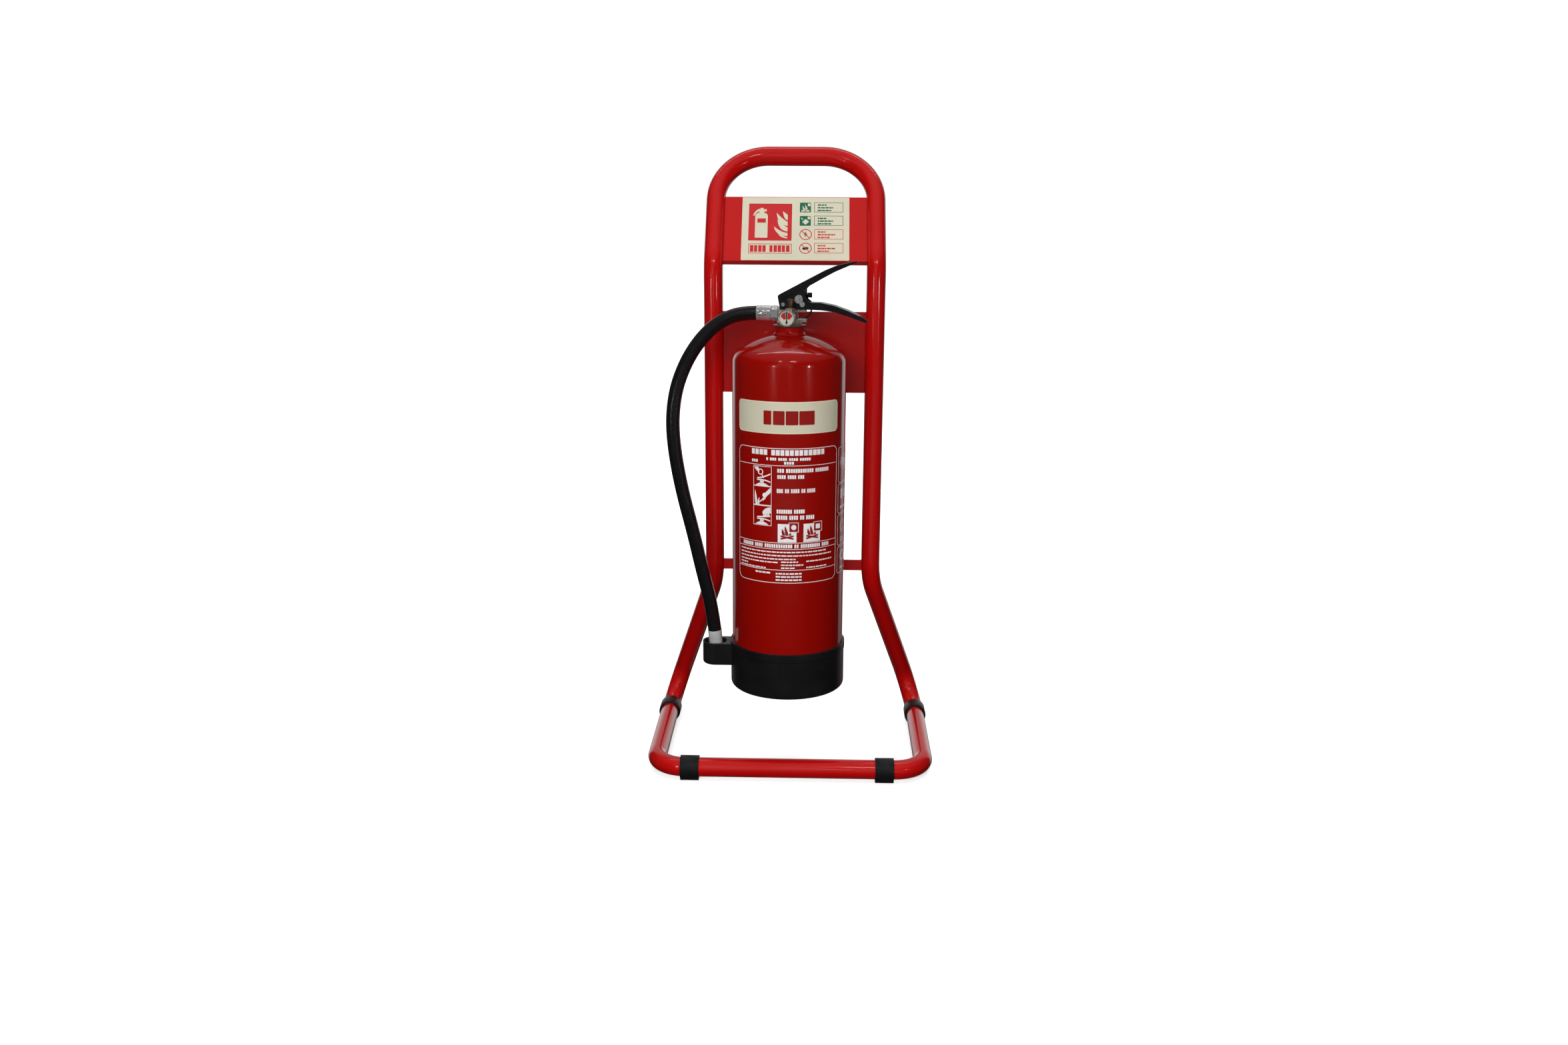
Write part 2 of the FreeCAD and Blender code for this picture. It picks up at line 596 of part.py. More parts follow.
def make_operating_lever():
    top = [(-15.6, 691.8), (-14.6, 693.8), (-11.7, 695.7), (6.7, 705.4), (49.5, 727.9)]
    top += [(62.8, 733.5), (79.8, 738.0), (93.1, 740.6)]
    under = [(-14.2, 690.9), (-12.9, 693.0), (-10.9, 694.2), (7.4, 703.9), (50.2, 726.3)]
    under += [(63.3, 731.9), (80.1, 736.4), (93.3, 739.0)]
    edge = [(92.0, 738.4), (79.9, 733.2), (61.7, 725.4), (43.5, 715.6), (26.4, 705.8)]
    web = [(22.8, 702.2), (22.6, 692.4), (17.2, 692.4), (13.0, 696.6), (9.6, 696.6), (8.9, 694.0)]
    foot_line = [(8.9, 684.0), (-3.0, 676.6), (-12.9, 677.6)]

    def side(y0, y1):
        return slab(edge + web + foot_line + top, y0, y1)

    strip = grip_strip(top, under, LEVER_IN)
    lever = fuse(*both_sides(side, LEVER_IN, LEVER_OUT), strip)
    lever = lever.cut(rod((PIVOT[0], -20, PIVOT[1]), (PIVOT[0], 20, PIVOT[1]), RIVET_R + 0.06))
    save("operating_lever", on_valve(lever.removeSplitter()))


def rivet(at, head_r, head_t):
    x, z = at
    shank = rod((x, -HANDLE_OUT - head_t, z), (x, HANDLE_OUT + head_t, z), RIVET_R)
    for side in (-1, 1):
        y = side * HANDLE_OUT
        shank = shank.fuse(rod((x, y, z), (x, y + side * head_t, z), head_r))
    return shank.removeSplitter()


def make_pin():
    x, z = PIN
    eye_y = 19.0
    save("pivot_rivet", on_valve(rivet(PIVOT, 2.6, 1.2)))
    save("handle_rivet", on_valve(rivet(HANDLE_RIVET, 3.6, 1.0)))
    bush = rod((x, -HANDLE_OUT, z), (x, -13.2, z), 4.4)
    bush = bush.fuse(rod((x, -13.2, z), (x, -14.4, z), 5.8))
    bush = bush.cut(rod((x, -10.0, z), (x, -16.0, z), PIN_R + 0.1))
    save("pin_bush", on_valve(bush))
    pin = rod((x, -15.0, z), (x, eye_y - 2.5, z), PIN_R)
    pin = pin.fuse(rod((x - 1.0, eye_y, z), (x + 1.0, eye_y, z), 3.8))
    pin = pin.cut(rod((x - 2.0, eye_y, z), (x + 2.0, eye_y, z), 1.7))
    save("safety_pin", on_valve(pin.removeSplitter()))
    ring = Part.makeTorus(RING_R, 1.2, V(x, eye_y, z - RING_R), V(0, 1, 0))
    save("pull_ring", on_valve(ring))
    seal = sleeve((x, 13.0, z), (x, 14.2, z), 3.4, PIN_R)
    strap = box(x + 2.6, 23.0, 13.0, 14.2, z + 1.0, z + 3.6)
    tag = box(22.5, 29.5, 12.8, 14.8, 689.6, 696.4)
    save("tamper_seal", on_valve(fuse(seal, strap, tag)))


# ---- the hose and its ends ----
def hose_radii(points):
    radii = []
    for i in range(1, len(points) - 1):
        back = V(*points[i]) - V(*points[i - 1])
        ahead = V(*points[i + 1]) - V(*points[i])
        half_turn = back.getAngle(ahead) / 2
        radii.append(0.45 * min(back.Length, ahead.Length) / math.tan(half_turn))
    return radii


def make_hose():
    nut = hexagon((-16.1, 0, OUTLET_Z), (-24.8, 0, OUTLET_Z), 18.8)
    nut = nut.cut(rod((-10, 0, OUTLET_Z), (-30, 0, OUTLET_Z), 7.0))
    save("hose_nut", on_valve(nut))
    ferrule = rod((FERRULE_END_X, 0, OUTLET_Z), (-24.8, 0, OUTLET_Z), 10.0)
    ferrule = ferrule.fuse(rod((-24.8, 0, OUTLET_Z), (-22.0, 0, OUTLET_Z), 6.9))
    ferrule = ferrule.cut(rod((-50, 0, OUTLET_Z), (-20, 0, OUTLET_Z), 4.5))
    save("hose_ferrule", on_valve(ferrule.removeSplitter()))

    radii = hose_radii(HOSE_ROUTE)
    route = rounded_path(HOSE_ROUTE, radii)
    hose = pipe(route, HOSE_R)
    print("hose radii", [round(r) for r in radii])
    print("hose length", round(route.Length, 1), "volume ratio",
          round(hose.Volume / (math.pi * HOSE_R ** 2 * route.Length), 4))
    save("hose", hose)

    length = NOZZLE_FERRULE_LENGTH
    ferrule = sleeve((0, 0, 0), (0, 0, -length), 10.0, 4.5)
    save("nozzle_ferrule", on_hose_end(ferrule))
    tip = -NOZZLE_LENGTH
    outline = [(3.0, tip), (6.0, tip), (7.2, tip + 7), (9.0, tip + 13), (9.0, -length), (3.0, -length)]
    save("nozzle", on_hose_end(revolve(outline)))


def main():
    os.makedirs("parts", exist_ok=True)
    make_stand()
    shell_solid = make_shell()
    make_cup(shell_solid)
    make_labels()
    save("valve_body", on_valve(make_valve_body()))
    make_hanger()
    make_siphon()
    make_stem()
    make_gauge()
    make_port()
    make_carry_handle()
    make_operating_lever()
    make_pin()
    make_hose()


main()
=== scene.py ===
import json
import math
import random

import bmesh
import bpy
from mathutils import Matrix, Vector
from mathutils.geometry import tessellate_polygon


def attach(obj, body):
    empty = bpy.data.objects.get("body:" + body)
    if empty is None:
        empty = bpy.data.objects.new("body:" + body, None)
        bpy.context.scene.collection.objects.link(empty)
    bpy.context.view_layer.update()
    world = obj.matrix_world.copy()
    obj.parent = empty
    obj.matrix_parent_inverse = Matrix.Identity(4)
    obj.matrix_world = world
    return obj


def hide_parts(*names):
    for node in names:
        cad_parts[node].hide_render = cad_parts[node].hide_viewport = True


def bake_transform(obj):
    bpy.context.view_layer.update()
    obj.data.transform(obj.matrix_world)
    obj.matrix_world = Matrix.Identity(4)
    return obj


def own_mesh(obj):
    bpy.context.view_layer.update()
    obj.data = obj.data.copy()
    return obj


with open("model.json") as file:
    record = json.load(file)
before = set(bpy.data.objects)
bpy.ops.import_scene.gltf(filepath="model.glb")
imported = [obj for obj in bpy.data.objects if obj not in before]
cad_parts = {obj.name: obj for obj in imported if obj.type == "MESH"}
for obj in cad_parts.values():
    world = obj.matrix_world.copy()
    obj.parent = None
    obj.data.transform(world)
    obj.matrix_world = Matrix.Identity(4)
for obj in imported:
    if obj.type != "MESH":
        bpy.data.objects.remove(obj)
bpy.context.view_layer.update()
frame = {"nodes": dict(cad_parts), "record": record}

# A foam extinguisher on a free-standing tubular stand. Metres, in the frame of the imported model.
# Flat artwork is laid out in millimetres in its own plane and is then put in place.

MM = 0.001
SCENE = bpy.context.scene
random.seed(7)

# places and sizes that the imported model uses, in millimetres, and turns in radians
AXIS_X = -5.0
AXIS_Y = -76.4
SHELL_R = 80.0
VALVE_TURN = math.radians(-6.5)
UPRIGHT_Y = 21.6
HIGH_BEND_Z = 731.5
LEAN = math.radians(33.3)
SHEET = 1.5
DIAL_Y = -31.5
DIAL_Z = 664.1
NEEDLE_Z = 658.5
OUTLET_Z = 668.5

# the hose, in metres, and how many points go round it
HOSE_D = 0.0195
HOSE_SEGMENTS = 40


# ---------------------------------------------------------------- camera
def make_camera():
    """Looks slightly down at the object from the front, turned by yaw, pitch and roll in radians."""
    yaw = 0.023519
    pitch = 0.230456
    roll = -0.005949
    place = (0.03188, -1.90503, 0.8002)
    lens = 30.05
    level = math.cos(pitch)
    ahead = Vector((-math.sin(yaw) * level, math.cos(yaw) * level, -math.sin(pitch)))
    right = Vector((math.cos(yaw), math.sin(yaw), 0))
    down = ahead.cross(right)
    across = math.cos(roll) * right + math.sin(roll) * down
    below = math.cos(roll) * down - math.sin(roll) * right
    data = bpy.data.cameras.new("camera")
    data.sensor_fit = "HORIZONTAL"
    data.sensor_width = 36.0
    data.lens = lens
    data.clip_start = 0.05
    data.clip_end = 100.0
    camera = bpy.data.objects.new("camera", data)
    turned = Matrix((across, -below, -ahead)).transposed().to_4x4()
    camera.matrix_world = Matrix.Translation(place) @ turned
    SCENE.collection.objects.link(camera)
    SCENE.camera = camera


make_camera()


# ---------------------------------------------------------------- mesh helpers
def link(name, mesh, body=None, stands_for=()):
    piece = bpy.data.objects.new(name, mesh)
    SCENE.collection.objects.link(piece)
    if body:
        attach(piece, body)
    if stands_for:
        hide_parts(*stands_for)
    return piece


def smooth(mesh, degrees=32.0):
    mesh.polygons.foreach_set("use_smooth", [True] * len(mesh.polygons))
    mesh.set_sharp_from_angle(angle=math.radians(degrees))
    mesh.update()


def side_of(axis):
    """Two directions square to the axis and to each other."""
    axis = axis.normalized()
    first = axis.cross(Vector((0, 0, 1)))
    if first.length < 0.2:
        first = axis.cross(Vector((1, 0, 0)))
    first.normalize()
    return first, axis.cross(first).normalized()


def rings_to_mesh(name, rings, closed_path=False):
    """A skin over rings of points that all have the same count, capped if the path is open."""
    count = len(rings[0])
    verts = [p for ring in rings for p in ring]
    faces = []
    last = len(rings) if closed_path else len(rings) - 1
    for i in range(last):
        a = i * count
        b = ((i + 1) % len(rings)) * count
        for k in range(count):
            n = (k + 1) % count
            faces.append((a + k, a + n, b + n, b + k))
    if not closed_path:
        faces.append(tuple(reversed(range(count))))
        faces.append(tuple(range((len(rings) - 1) * count, len(rings) * count)))
    mesh = bpy.data.meshes.new(name)
    mesh.from_pydata([tuple(v) for v in verts], [], faces)
    mesh.validate()
    tidy = bmesh.new()
    tidy.from_mesh(mesh)
    bmesh.ops.recalc_face_normals(tidy, faces=tidy.faces)
    tidy.to_mesh(mesh)
    tidy.free()
    return mesh


def lathe(name, profile, origin, axis, segments):
    """Turns a closed outline of (along the axis, radius) points in millimetres about an axis.

    The axis goes through origin, which is in metres.
    """
    axis = Vector(axis).normalized()
    first, second = side_of(axis)
    rings = []
    for along, radius in profile:
        middle = Vector(origin) + axis * along * MM
        ring = []
        for k in range(segments):
            turn = math.tau * k / segments
            ring.append(middle + (first * math.cos(turn) + second * math.sin(turn)) * radius * MM)
        rings.append(ring)
    mesh = rings_to_mesh(name, rings, closed_path=True)
    smooth(mesh)
    return mesh


def tube_rings(path, radius, segments):
    """Rings of points round a path, turned as little as possible from one to the next."""
    rings = []
    first = None
    for i, p in enumerate(path):
        ahead = (path[min(i + 1, len(path) - 1)] - path[max(i - 1, 0)]).normalized()
        if first is None:
            first = side_of(ahead)[0]
        first = (first - ahead * first.dot(ahead)).normalized()
        second = ahead.cross(first)
        turns = [math.tau * k / segments for k in range(segments)]
        rings.append([p + (first * math.cos(t) + second * math.sin(t)) * radius for t in turns])
    return rings


# ---------------------------------------------------------------- the hose
HOSE_ROUTE = [
    (-0.05072, -0.0712, 0.6685),
    (-0.0726, -0.0687, 0.6680),
    (-0.0970, -0.0670, 0.6590),
    (-0.1185, -0.0680, 0.6430),
    (-0.1375, -0.0710, 0.6205),
    (-0.1530, -0.0750, 0.5930),
    (-0.1648, -0.0790, 0.5590),
    (-0.1695, -0.0820, 0.5170),
    (-0.1660, -0.0830, 0.4710),
    (-0.1560, -0.0820, 0.4150),
    (-0.1415, -0.0800, 0.3570),
    (-0.1290, -0.0780, 0.2990),
    (-0.1160, -0.0764, 0.2460),
    (-0.1115, -0.0764, 0.2088),
]


def make_hose():
    curve = bpy.data.curves.new("hose_line", "CURVE")
    curve.dimensions = "3D"
    curve.resolution_u = 24
    spline = curve.splines.new("NURBS")
    spline.points.add(len(HOSE_ROUTE) - 1)
    for point, place in zip(spline.points, HOSE_ROUTE):
        point.co = (*place, 1.0)
    spline.order_u = 3
    spline.use_endpoint_u = True
    guide = bpy.data.objects.new("hose_line", curve)
    SCENE.collection.objects.link(guide)
    bpy.context.view_layer.update()
    line = bpy.data.meshes.new_from_object(guide)
    path = [v.co.copy() for v in line.vertices]
    bpy.data.objects.remove(guide)
    mesh = rings_to_mesh("hose_tube", tube_rings(path, HOSE_D / 2, HOSE_SEGMENTS))
    # u goes round the hose and back, so that its weave has no seam; v goes along it
    half_round = HOSE_SEGMENTS / 2
    along_scale = 20
    layer = mesh.uv_layers.new(name="wrap")
    far = [0.0]
    for a, b in zip(path, path[1:]):
        far.append(far[-1] + (b - a).length)
    for loop in mesh.loops:
        ring, k = divmod(loop.vertex_index, HOSE_SEGMENTS)
        layer.data[loop.index].uv = (min(k, HOSE_SEGMENTS - k) / half_round, far[ring] * along_scale)
    smooth(mesh, 60)
    piece = link("hose_tube", mesh, stands_for=["hose"])
    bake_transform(piece)
    return piece


HOSE = make_hose()


# ---------------------------------------------------------------- materials
def noise(tree, scale, detail, source):
    made = tree.nodes.new("ShaderNodeTexNoise")
    made.inputs["Scale"].default_value = scale
    made.inputs["Detail"].default_value = detail
    tree.links.new(source, made.inputs["Vector"])
    return made.outputs[0]


def ranged(tree, source, span, onto, soft=False):
    """Maps the values of span to those of onto and clips the rest; soft eases in and out of it."""
    made = tree.nodes.new("ShaderNodeMapRange")
    if soft:
        made.interpolation_type = "SMOOTHSTEP"
    for place, value in enumerate((*span, *onto), start=1):
        made.inputs[place].default_value = value
    tree.links.new(source, made.inputs[0])
    return made.outputs[0]


def worked(tree, operation, *values):
    """A maths node, whose inputs are sockets or plain numbers."""
    made = tree.nodes.new("ShaderNodeMath")
    made.operation = operation
    for socket, value in zip(made.inputs, values):
        if isinstance(value, float):
            socket.default_value = value
        else:
            tree.links.new(value, socket)
    return made.outputs[0]


def mixed(tree, factor, first, second):
    """Blends a colour or a colour socket with a second colour."""
    mix = tree.nodes.new("ShaderNodeMix")
    mix.data_type = "RGBA"
    tree.links.new(factor, mix.inputs[0])
    if isinstance(first, tuple):
        mix.inputs[6].default_value = (*first, 1.0)
    else:
        tree.links.new(first, mix.inputs[6])
    mix.inputs[7].default_value = (*second, 1.0)
    return mix.outputs[2]


def finish(
    name,
    base,
    vary=0.06,
    vary_scale=9.0,
    rough=0.3,
    rough_span=0.08,
    rough_scale=60.0,
    bump=0.05,
    bump_scale=1800.0,
    bump_depth=0.0002,
    stretch=(1.0, 1.0, 1.0),
    metallic=0.0,
    coat=0.0,
    coat_rough=0.04,
    specks=0.0,
    coords="Object",
):
    """A surface whose colour, gloss and relief all change a little from place to place."""
    made = bpy.data.materials.new(name)
    made.use_nodes = True
    tree = made.node_tree
    tree.nodes.clear()
    out = tree.nodes.new("ShaderNodeOutputMaterial")
    shader = tree.nodes.new("ShaderNodeBsdfPrincipled")
    tree.links.new(shader.outputs[0], out.inputs[0])
    shader.inputs["Metallic"].default_value = metallic
    shader.inputs["Coat Weight"].default_value = coat
    shader.inputs["Coat Roughness"].default_value = coat_rough
    shader.inputs["IOR"].default_value = 1.5
    where = tree.nodes.new("ShaderNodeTexCoord").outputs[coords]
    spread = tree.nodes.new("ShaderNodeMapping")
    spread.inputs["Scale"].default_value = stretch
    tree.links.new(where, spread.inputs[0])

    # soft patches of two shades of the base colour
    patches = ranged(tree, noise(tree, vary_scale, 4.0, where), span=(0.35, 0.65), onto=(0.0, 1.0))
    dark = tuple(c * (1 - vary) for c in base)
    light = tuple(min(1.0, c * (1 + vary)) for c in base)
    colour = mixed(tree, patches, dark, light)
    if specks:
        # small paler grains, as moulded rubber and plastic have
        speck_scale = 620.0
        grains = noise(tree, speck_scale, 2.0, where)
        grain = ranged(tree, grains, span=(0.66, 0.74), onto=(0.0, specks))
        colour = mixed(tree, grain, colour, tuple(min(1.0, c * 0.5 + 0.22) for c in base))
    tree.links.new(colour, shader.inputs["Base Color"])
    worn = noise(tree, rough_scale, 5.0, spread.outputs[0])
    smoothest = max(0.02, rough - rough_span)
    gloss = ranged(tree, worn, span=(0.3, 0.7), onto=(smoothest, rough + rough_span))
    tree.links.new(gloss, shader.inputs["Roughness"])
    relief = tree.nodes.new("ShaderNodeBump")
    relief.inputs["Strength"].default_value = bump
    relief.inputs["Distance"].default_value = bump_depth
    tree.links.new(noise(tree, bump_scale, 3.0, spread.outputs[0]), relief.inputs["Height"])
    tree.links.new(relief.outputs[0], shader.inputs["Normal"])
    return made


def hose_finish():
    """Black rubber with the fine cross-wise weave that its curing cloth left."""
    around_scale = 150.0
    along_scale = 130.0
    made = finish(
        "hose_rubber_look", (0.006, 0.006, 0.007), rough=0.27, rough_span=0.05, coords="UV", coat=0.35,
        coat_rough=0.2,
    )
    tree = made.node_tree
    relief = next(n for n in tree.nodes if n.type == "BUMP")
    where = next(n for n in tree.nodes if n.type == "TEX_COORD").outputs["UV"]
    split = tree.nodes.new("ShaderNodeSeparateXYZ")
    tree.links.new(where, split.inputs[0])
    around = worked(tree, "SINE", worked(tree, "MULTIPLY", split.outputs[0], around_scale))
    along = worked(tree, "SINE", worked(tree, "MULTIPLY", split.outputs[1], along_scale))
    tree.links.new(worked(tree, "MULTIPLY", around, along), relief.inputs["Height"])
    relief.inputs["Strength"].default_value = 0.3
    relief.inputs["Distance"].default_value = 0.00008
    return made


def glass_finish():
    """A clear lens: it lets the dial through and only adds its reflection."""
    made = bpy.data.materials.new("gauge_glass_look")
    made.use_nodes = True
    tree = made.node_tree
    tree.nodes.clear()
    out = tree.nodes.new("ShaderNodeOutputMaterial")
    mix = tree.nodes.new("ShaderNodeMixShader")
    clear = tree.nodes.new("ShaderNodeBsdfTransparent")
    gloss = tree.nodes.new("ShaderNodeBsdfGlossy")
    edge = tree.nodes.new("ShaderNodeFresnel")
    smear = tree.nodes.new("ShaderNodeTexNoise")
    clear.inputs["Color"].default_value = (0.97, 0.975, 0.97, 1)
    edge.inputs["IOR"].default_value = 1.45
    smear.inputs["Scale"].default_value = 160.0
    smeared = ranged(tree, smear.outputs[0], span=(0.0, 1.0), onto=(0.02, 0.09))
    tree.links.new(smeared, gloss.inputs["Roughness"])
    tree.links.new(edge.outputs[0], mix.inputs[0])
    tree.links.new(clear.outputs[0], mix.inputs[1])
    tree.links.new(gloss.outputs[0], mix.inputs[2])
    tree.links.new(mix.outputs[0], out.inputs[0])
    return made


RED = (0.52, 0.0040, 0.0040)
SHELL_RED = (0.29, 0.0026, 0.0008)
CREAM = (0.66, 0.62, 0.47)
LOOKS = {
    "stand_paint": finish(
        "stand_paint_look", RED, vary=0.03, vary_scale=3, rough=0.2, rough_span=0.02, rough_scale=12,
        bump=0.03, bump_scale=420, bump_depth=0.0002, coat=0.6, coat_rough=0.025,
    ),
    "shell_paint": finish(
        "shell_paint_look", SHELL_RED, vary=0.03, vary_scale=3, rough=0.16, rough_span=0.02,
        rough_scale=10, bump=0.03, bump_scale=380, bump_depth=0.0002, coat=0.6, coat_rough=0.03,
    ),
    "cup_plastic": finish(
        "cup_plastic_look", (0.007, 0.007, 0.008), vary=0.2, vary_scale=30, rough=0.36,
        rough_span=0.05, rough_scale=140, bump=0.12, bump_scale=1400, specks=0.06,
    ),
    "foot_rubber": finish(
        "foot_rubber_look", (0.008, 0.008, 0.009), vary=0.25, vary_scale=60, rough=0.46,
        rough_span=0.08, rough_scale=260, bump=0.3, bump_scale=1600, specks=0.12,
    ),
    "label_vinyl": finish(
        "label_vinyl_look", CREAM, vary=0.03, vary_scale=14, rough=0.38, rough_span=0.06,
        rough_scale=90, bump=0.04, bump_scale=1400, coat=0.25, coat_rough=0.1,
    ),
    "instruction_vinyl": finish(
        "instruction_vinyl_look", SHELL_RED, vary=0.03, vary_scale=5, rough=0.2, rough_span=0.02,
        rough_scale=14, bump=0.03, bump_scale=900, coat=0.5, coat_rough=0.05,
    ),
    "valve_nickel": finish(
        "valve_nickel_look", (0.66, 0.60, 0.52), vary=0.14, vary_scale=120, rough=0.26,
        rough_span=0.06, rough_scale=220, bump=0.15, bump_scale=900, metallic=0.8,
    ),
    "zinc_steel": finish(
        "zinc_steel_look", (0.80, 0.81, 0.82), vary=0.03, vary_scale=40, rough=0.19, rough_span=0.02,
        rough_scale=60, bump=0.02, bump_scale=900, stretch=(1, 3, 3), metallic=0.8,
    ),
    "lever_enamel": finish(
        "lever_enamel_look", (0.006, 0.006, 0.007), vary=0.15, vary_scale=40, rough=0.26,
        rough_span=0.04, rough_scale=90, bump=0.08, bump_scale=1200,
    ),
    "hose_rubber": hose_finish(),
    "cap_brass": finish(
        "cap_brass_look", (0.21, 0.13, 0.085), vary=0.25, vary_scale=200, rough=0.34, rough_span=0.1,
        rough_scale=260, bump=0.35, bump_scale=1500, metallic=0.9,
    ),
    "gauge_glass": glass_finish(),
    "dial_face": finish(
        "dial_face_look", (0.70, 0.68, 0.60), vary=0.03, vary_scale=90, rough=0.5, rough_span=0.05,
        rough_scale=300, bump=0.1, bump_scale=3000,
    ),
    "needle_black": finish(
        "needle_black_look", (0.015, 0.02, 0.018), vary=0.2, vary_scale=300, rough=0.45,
        rough_span=0.08, rough_scale=500, bump=0.1, bump_scale=3000,
    ),
    "seal_rubber": finish(
        "seal_rubber_look", (0.016, 0.016, 0.017), vary=0.2, vary_scale=80, rough=0.62,
        rough_span=0.08, rough_scale=300, bump=0.4, bump_scale=2500,
    ),
    "siphon_plastic": finish(
        "siphon_plastic_look", (0.62, 0.62, 0.58), vary=0.05, vary_scale=30, rough=0.4,
        rough_span=0.06, rough_scale=120, bump=0.15, bump_scale=1800,
    ),
    "tie_plastic": finish(
        "tie_plastic_look", (0.012, 0.012, 0.013), vary=0.2, vary_scale=60, rough=0.3, rough_span=0.06,
        rough_scale=200, bump=0.2, bump_scale=2200,
    ),
}
INKS = {
    "white": finish(
        "ink_white", (0.86, 0.82, 0.82), vary=0.04, vary_scale=60, rough=0.34, rough_span=0.05,
        rough_scale=200, bump=0.05, bump_scale=2500, coat=0.4,
    ),
    "pale": finish(
        "ink_pale", (0.86, 0.78, 0.60), vary=0.04, vary_scale=60, rough=0.36, rough_span=0.05,
        rough_scale=200, bump=0.05, bump_scale=2500,
    ),
    "red": finish(
        "ink_red", (0.56, 0.012, 0.016), vary=0.05, vary_scale=40, rough=0.38, rough_span=0.05,
        rough_scale=160, bump=0.05, bump_scale=2200, coat=0.2,
    ),
    "deep_red": finish(
        "ink_deep_red", SHELL_RED, vary=0.05, vary_scale=40, rough=0.36, rough_span=0.05,
        rough_scale=160, bump=0.05, bump_scale=2200, coat=0.3,
    ),
    "green": finish(
        "ink_green", (0.010, 0.13, 0.070), vary=0.06, vary_scale=40, rough=0.4, rough_span=0.05,
        rough_scale=160, bump=0.05, bump_scale=2200, coat=0.2,
    ),
    "black": finish(
        "ink_black", (0.018, 0.018, 0.018), vary=0.1, vary_scale=40, rough=0.45, rough_span=0.05,
        rough_scale=160, bump=0.05, bump_scale=2200,
    ),
}

# nodes that differ from their slot's look: a dented plate whose deeper red is painted shade from the
# cylinder in front of it, a paler ferrule, an aged hanger
OWN_LOOKS = {
    "back_plate": finish(
        # the plate's base red is darkened as painted shade, where the cylinder shades it
        "back_plate_painted_shade_look", (0.36, 0.0026, 0.0026), vary=0.1, vary_scale=9, rough=0.24, rough_span=0.03,
        rough_scale=12, bump=0.12, bump_scale=22, bump_depth=0.003, coat=0.3, coat_rough=0.05,
    ),
    "nozzle_ferrule": finish(
        "bright_ferrule_look", (0.80, 0.81, 0.82), vary=0.2, vary_scale=60, rough=0.2, rough_span=0.04,
        rough_scale=60, bump=0.05, bump_scale=900, metallic=0.45, coat=0.3,
    ),
    "hanger_plate": finish(
        "aged_steel_look", (0.17, 0.13, 0.10), vary=0.3, vary_scale=90, rough=0.36, rough_span=0.1,
        rough_scale=160, bump=0.2, bump_scale=900, metallic=0.7,
    ),
}

for row in frame["record"]["subparts"]:
    cad = frame["nodes"][row["node"]]
    look = OWN_LOOKS.get(row["node"], LOOKS[row["material_slot"]])
    if not cad.material_slots:
        cad.data.materials.append(look)
    for held in cad.material_slots:
        held.material = look
HOSE.data.materials.append(LOOKS["hose_rubber"])


def soften(name, width):
    """Rounds a CAD node's sharp edges a little, so that they catch the light."""
    cad = frame["nodes"][name]
    weld = cad.modifiers.new("weld", "WELD")
    weld.merge_threshold = 0.000002
    round_edges = cad.modifiers.new("round_edges", "BEVEL")
    round_edges.width = width * MM
    round_edges.segments = 2
    round_edges.limit_method = "ANGLE"
    round_edges.angle_limit = math.radians(38)
    round_edges.harden_normals = True


# in millimetres
EDGE_WIDTHS = {
    "operating_lever": 0.8,
    "carry_handle": 0.8,
    "back_plate": 0.5,
    "sign_plate": 0.5,
    "hook_bracket": 0.4,
    "hanger_plate": 0.4,
    "crossbar": 0.5,
    "nozzle_holder": 0.6,
    "front_feet": 0.8,
    "rear_feet": 0.8,
    "valve_body": 0.5,
    "bracket_bolts": 0.4,
    "bracket_nuts": 0.3,
    "bracket_washers": 0.2,
    "pivot_rivet": 0.5,
    "handle_rivet": 0.35,
    "pin_bush": 0.3,
    "port_cap": 0.4,
    "test_port": 0.3,
    "hose_nut": 0.4,
    "tamper_seal": 0.25,
    "gauge_case": 0.5,
    "neck_collar": 0.6,
}
for cad_name, edge_width in EDGE_WIDTHS.items():
    soften(cad_name, edge_width)


# ---------------------------------------------------------------- where flat artwork goes
def on_wall(u, v, w):
    """u runs round the cylinder from its front, v is the height, w stands off its wall."""
    turn = u / (SHELL_R + 0.3)
    r = SHELL_R + w
    return Vector((AXIS_X + r * math.sin(turn), AXIS_Y - r * math.cos(turn), v)) * MM


def on_slope(u, v, w):
    """u is across the sign, v is up its slope and w is out of its face."""
    out = SHEET / 2 + w
    y = UPRIGHT_Y + v * math.sin(LEAN) - out * math.cos(LEAN)
    z = HIGH_BEND_Z + v * math.cos(LEAN) + out * math.sin(LEAN)
    return Vector((u, y, z)) * MM


def on_valve(x, y, z):
    """x and y start at the cylinder's axis and are turned with the valve, z is the height."""
    c = math.cos(VALVE_TURN)
    s = math.sin(VALVE_TURN)
    return Vector((AXIS_X + c * x - s * y, AXIS_Y + s * x + c * y, z)) * MM


def on_dial(u, v, w):
    """u is across the gauge, v is the height and w is out of its face."""
    return on_valve(u, DIAL_Y - w, v)


# ---------------------------------------------------------------- flat shapes, in millimetres
def rect(x0, y0, x1, y1):
    return [(x0, y0), (x1, y0), (x1, y1), (x0, y1)]


def rounded(x0, y0, x1, y1, r, n=5):
    """A rectangle with round corners, from the lower right corner upwards."""
    points = []
    corners = ((x1 - r, y0 + r, -90), (x1 - r, y1 - r, 0), (x0 + r, y1 - r, 90), (x0 + r, y0 + r, 180))
    for cx, cy, start in corners:
        for k in range(n + 1):
            turn = math.radians(start + 90 * k / n)
            points.append((cx + r * math.cos(turn), cy + r * math.sin(turn)))
    return points


def disc(x, y, r, n=28):
    return [(x + r * math.cos(math.tau * k / n), y + r * math.sin(math.tau * k / n)) for k in range(n)]


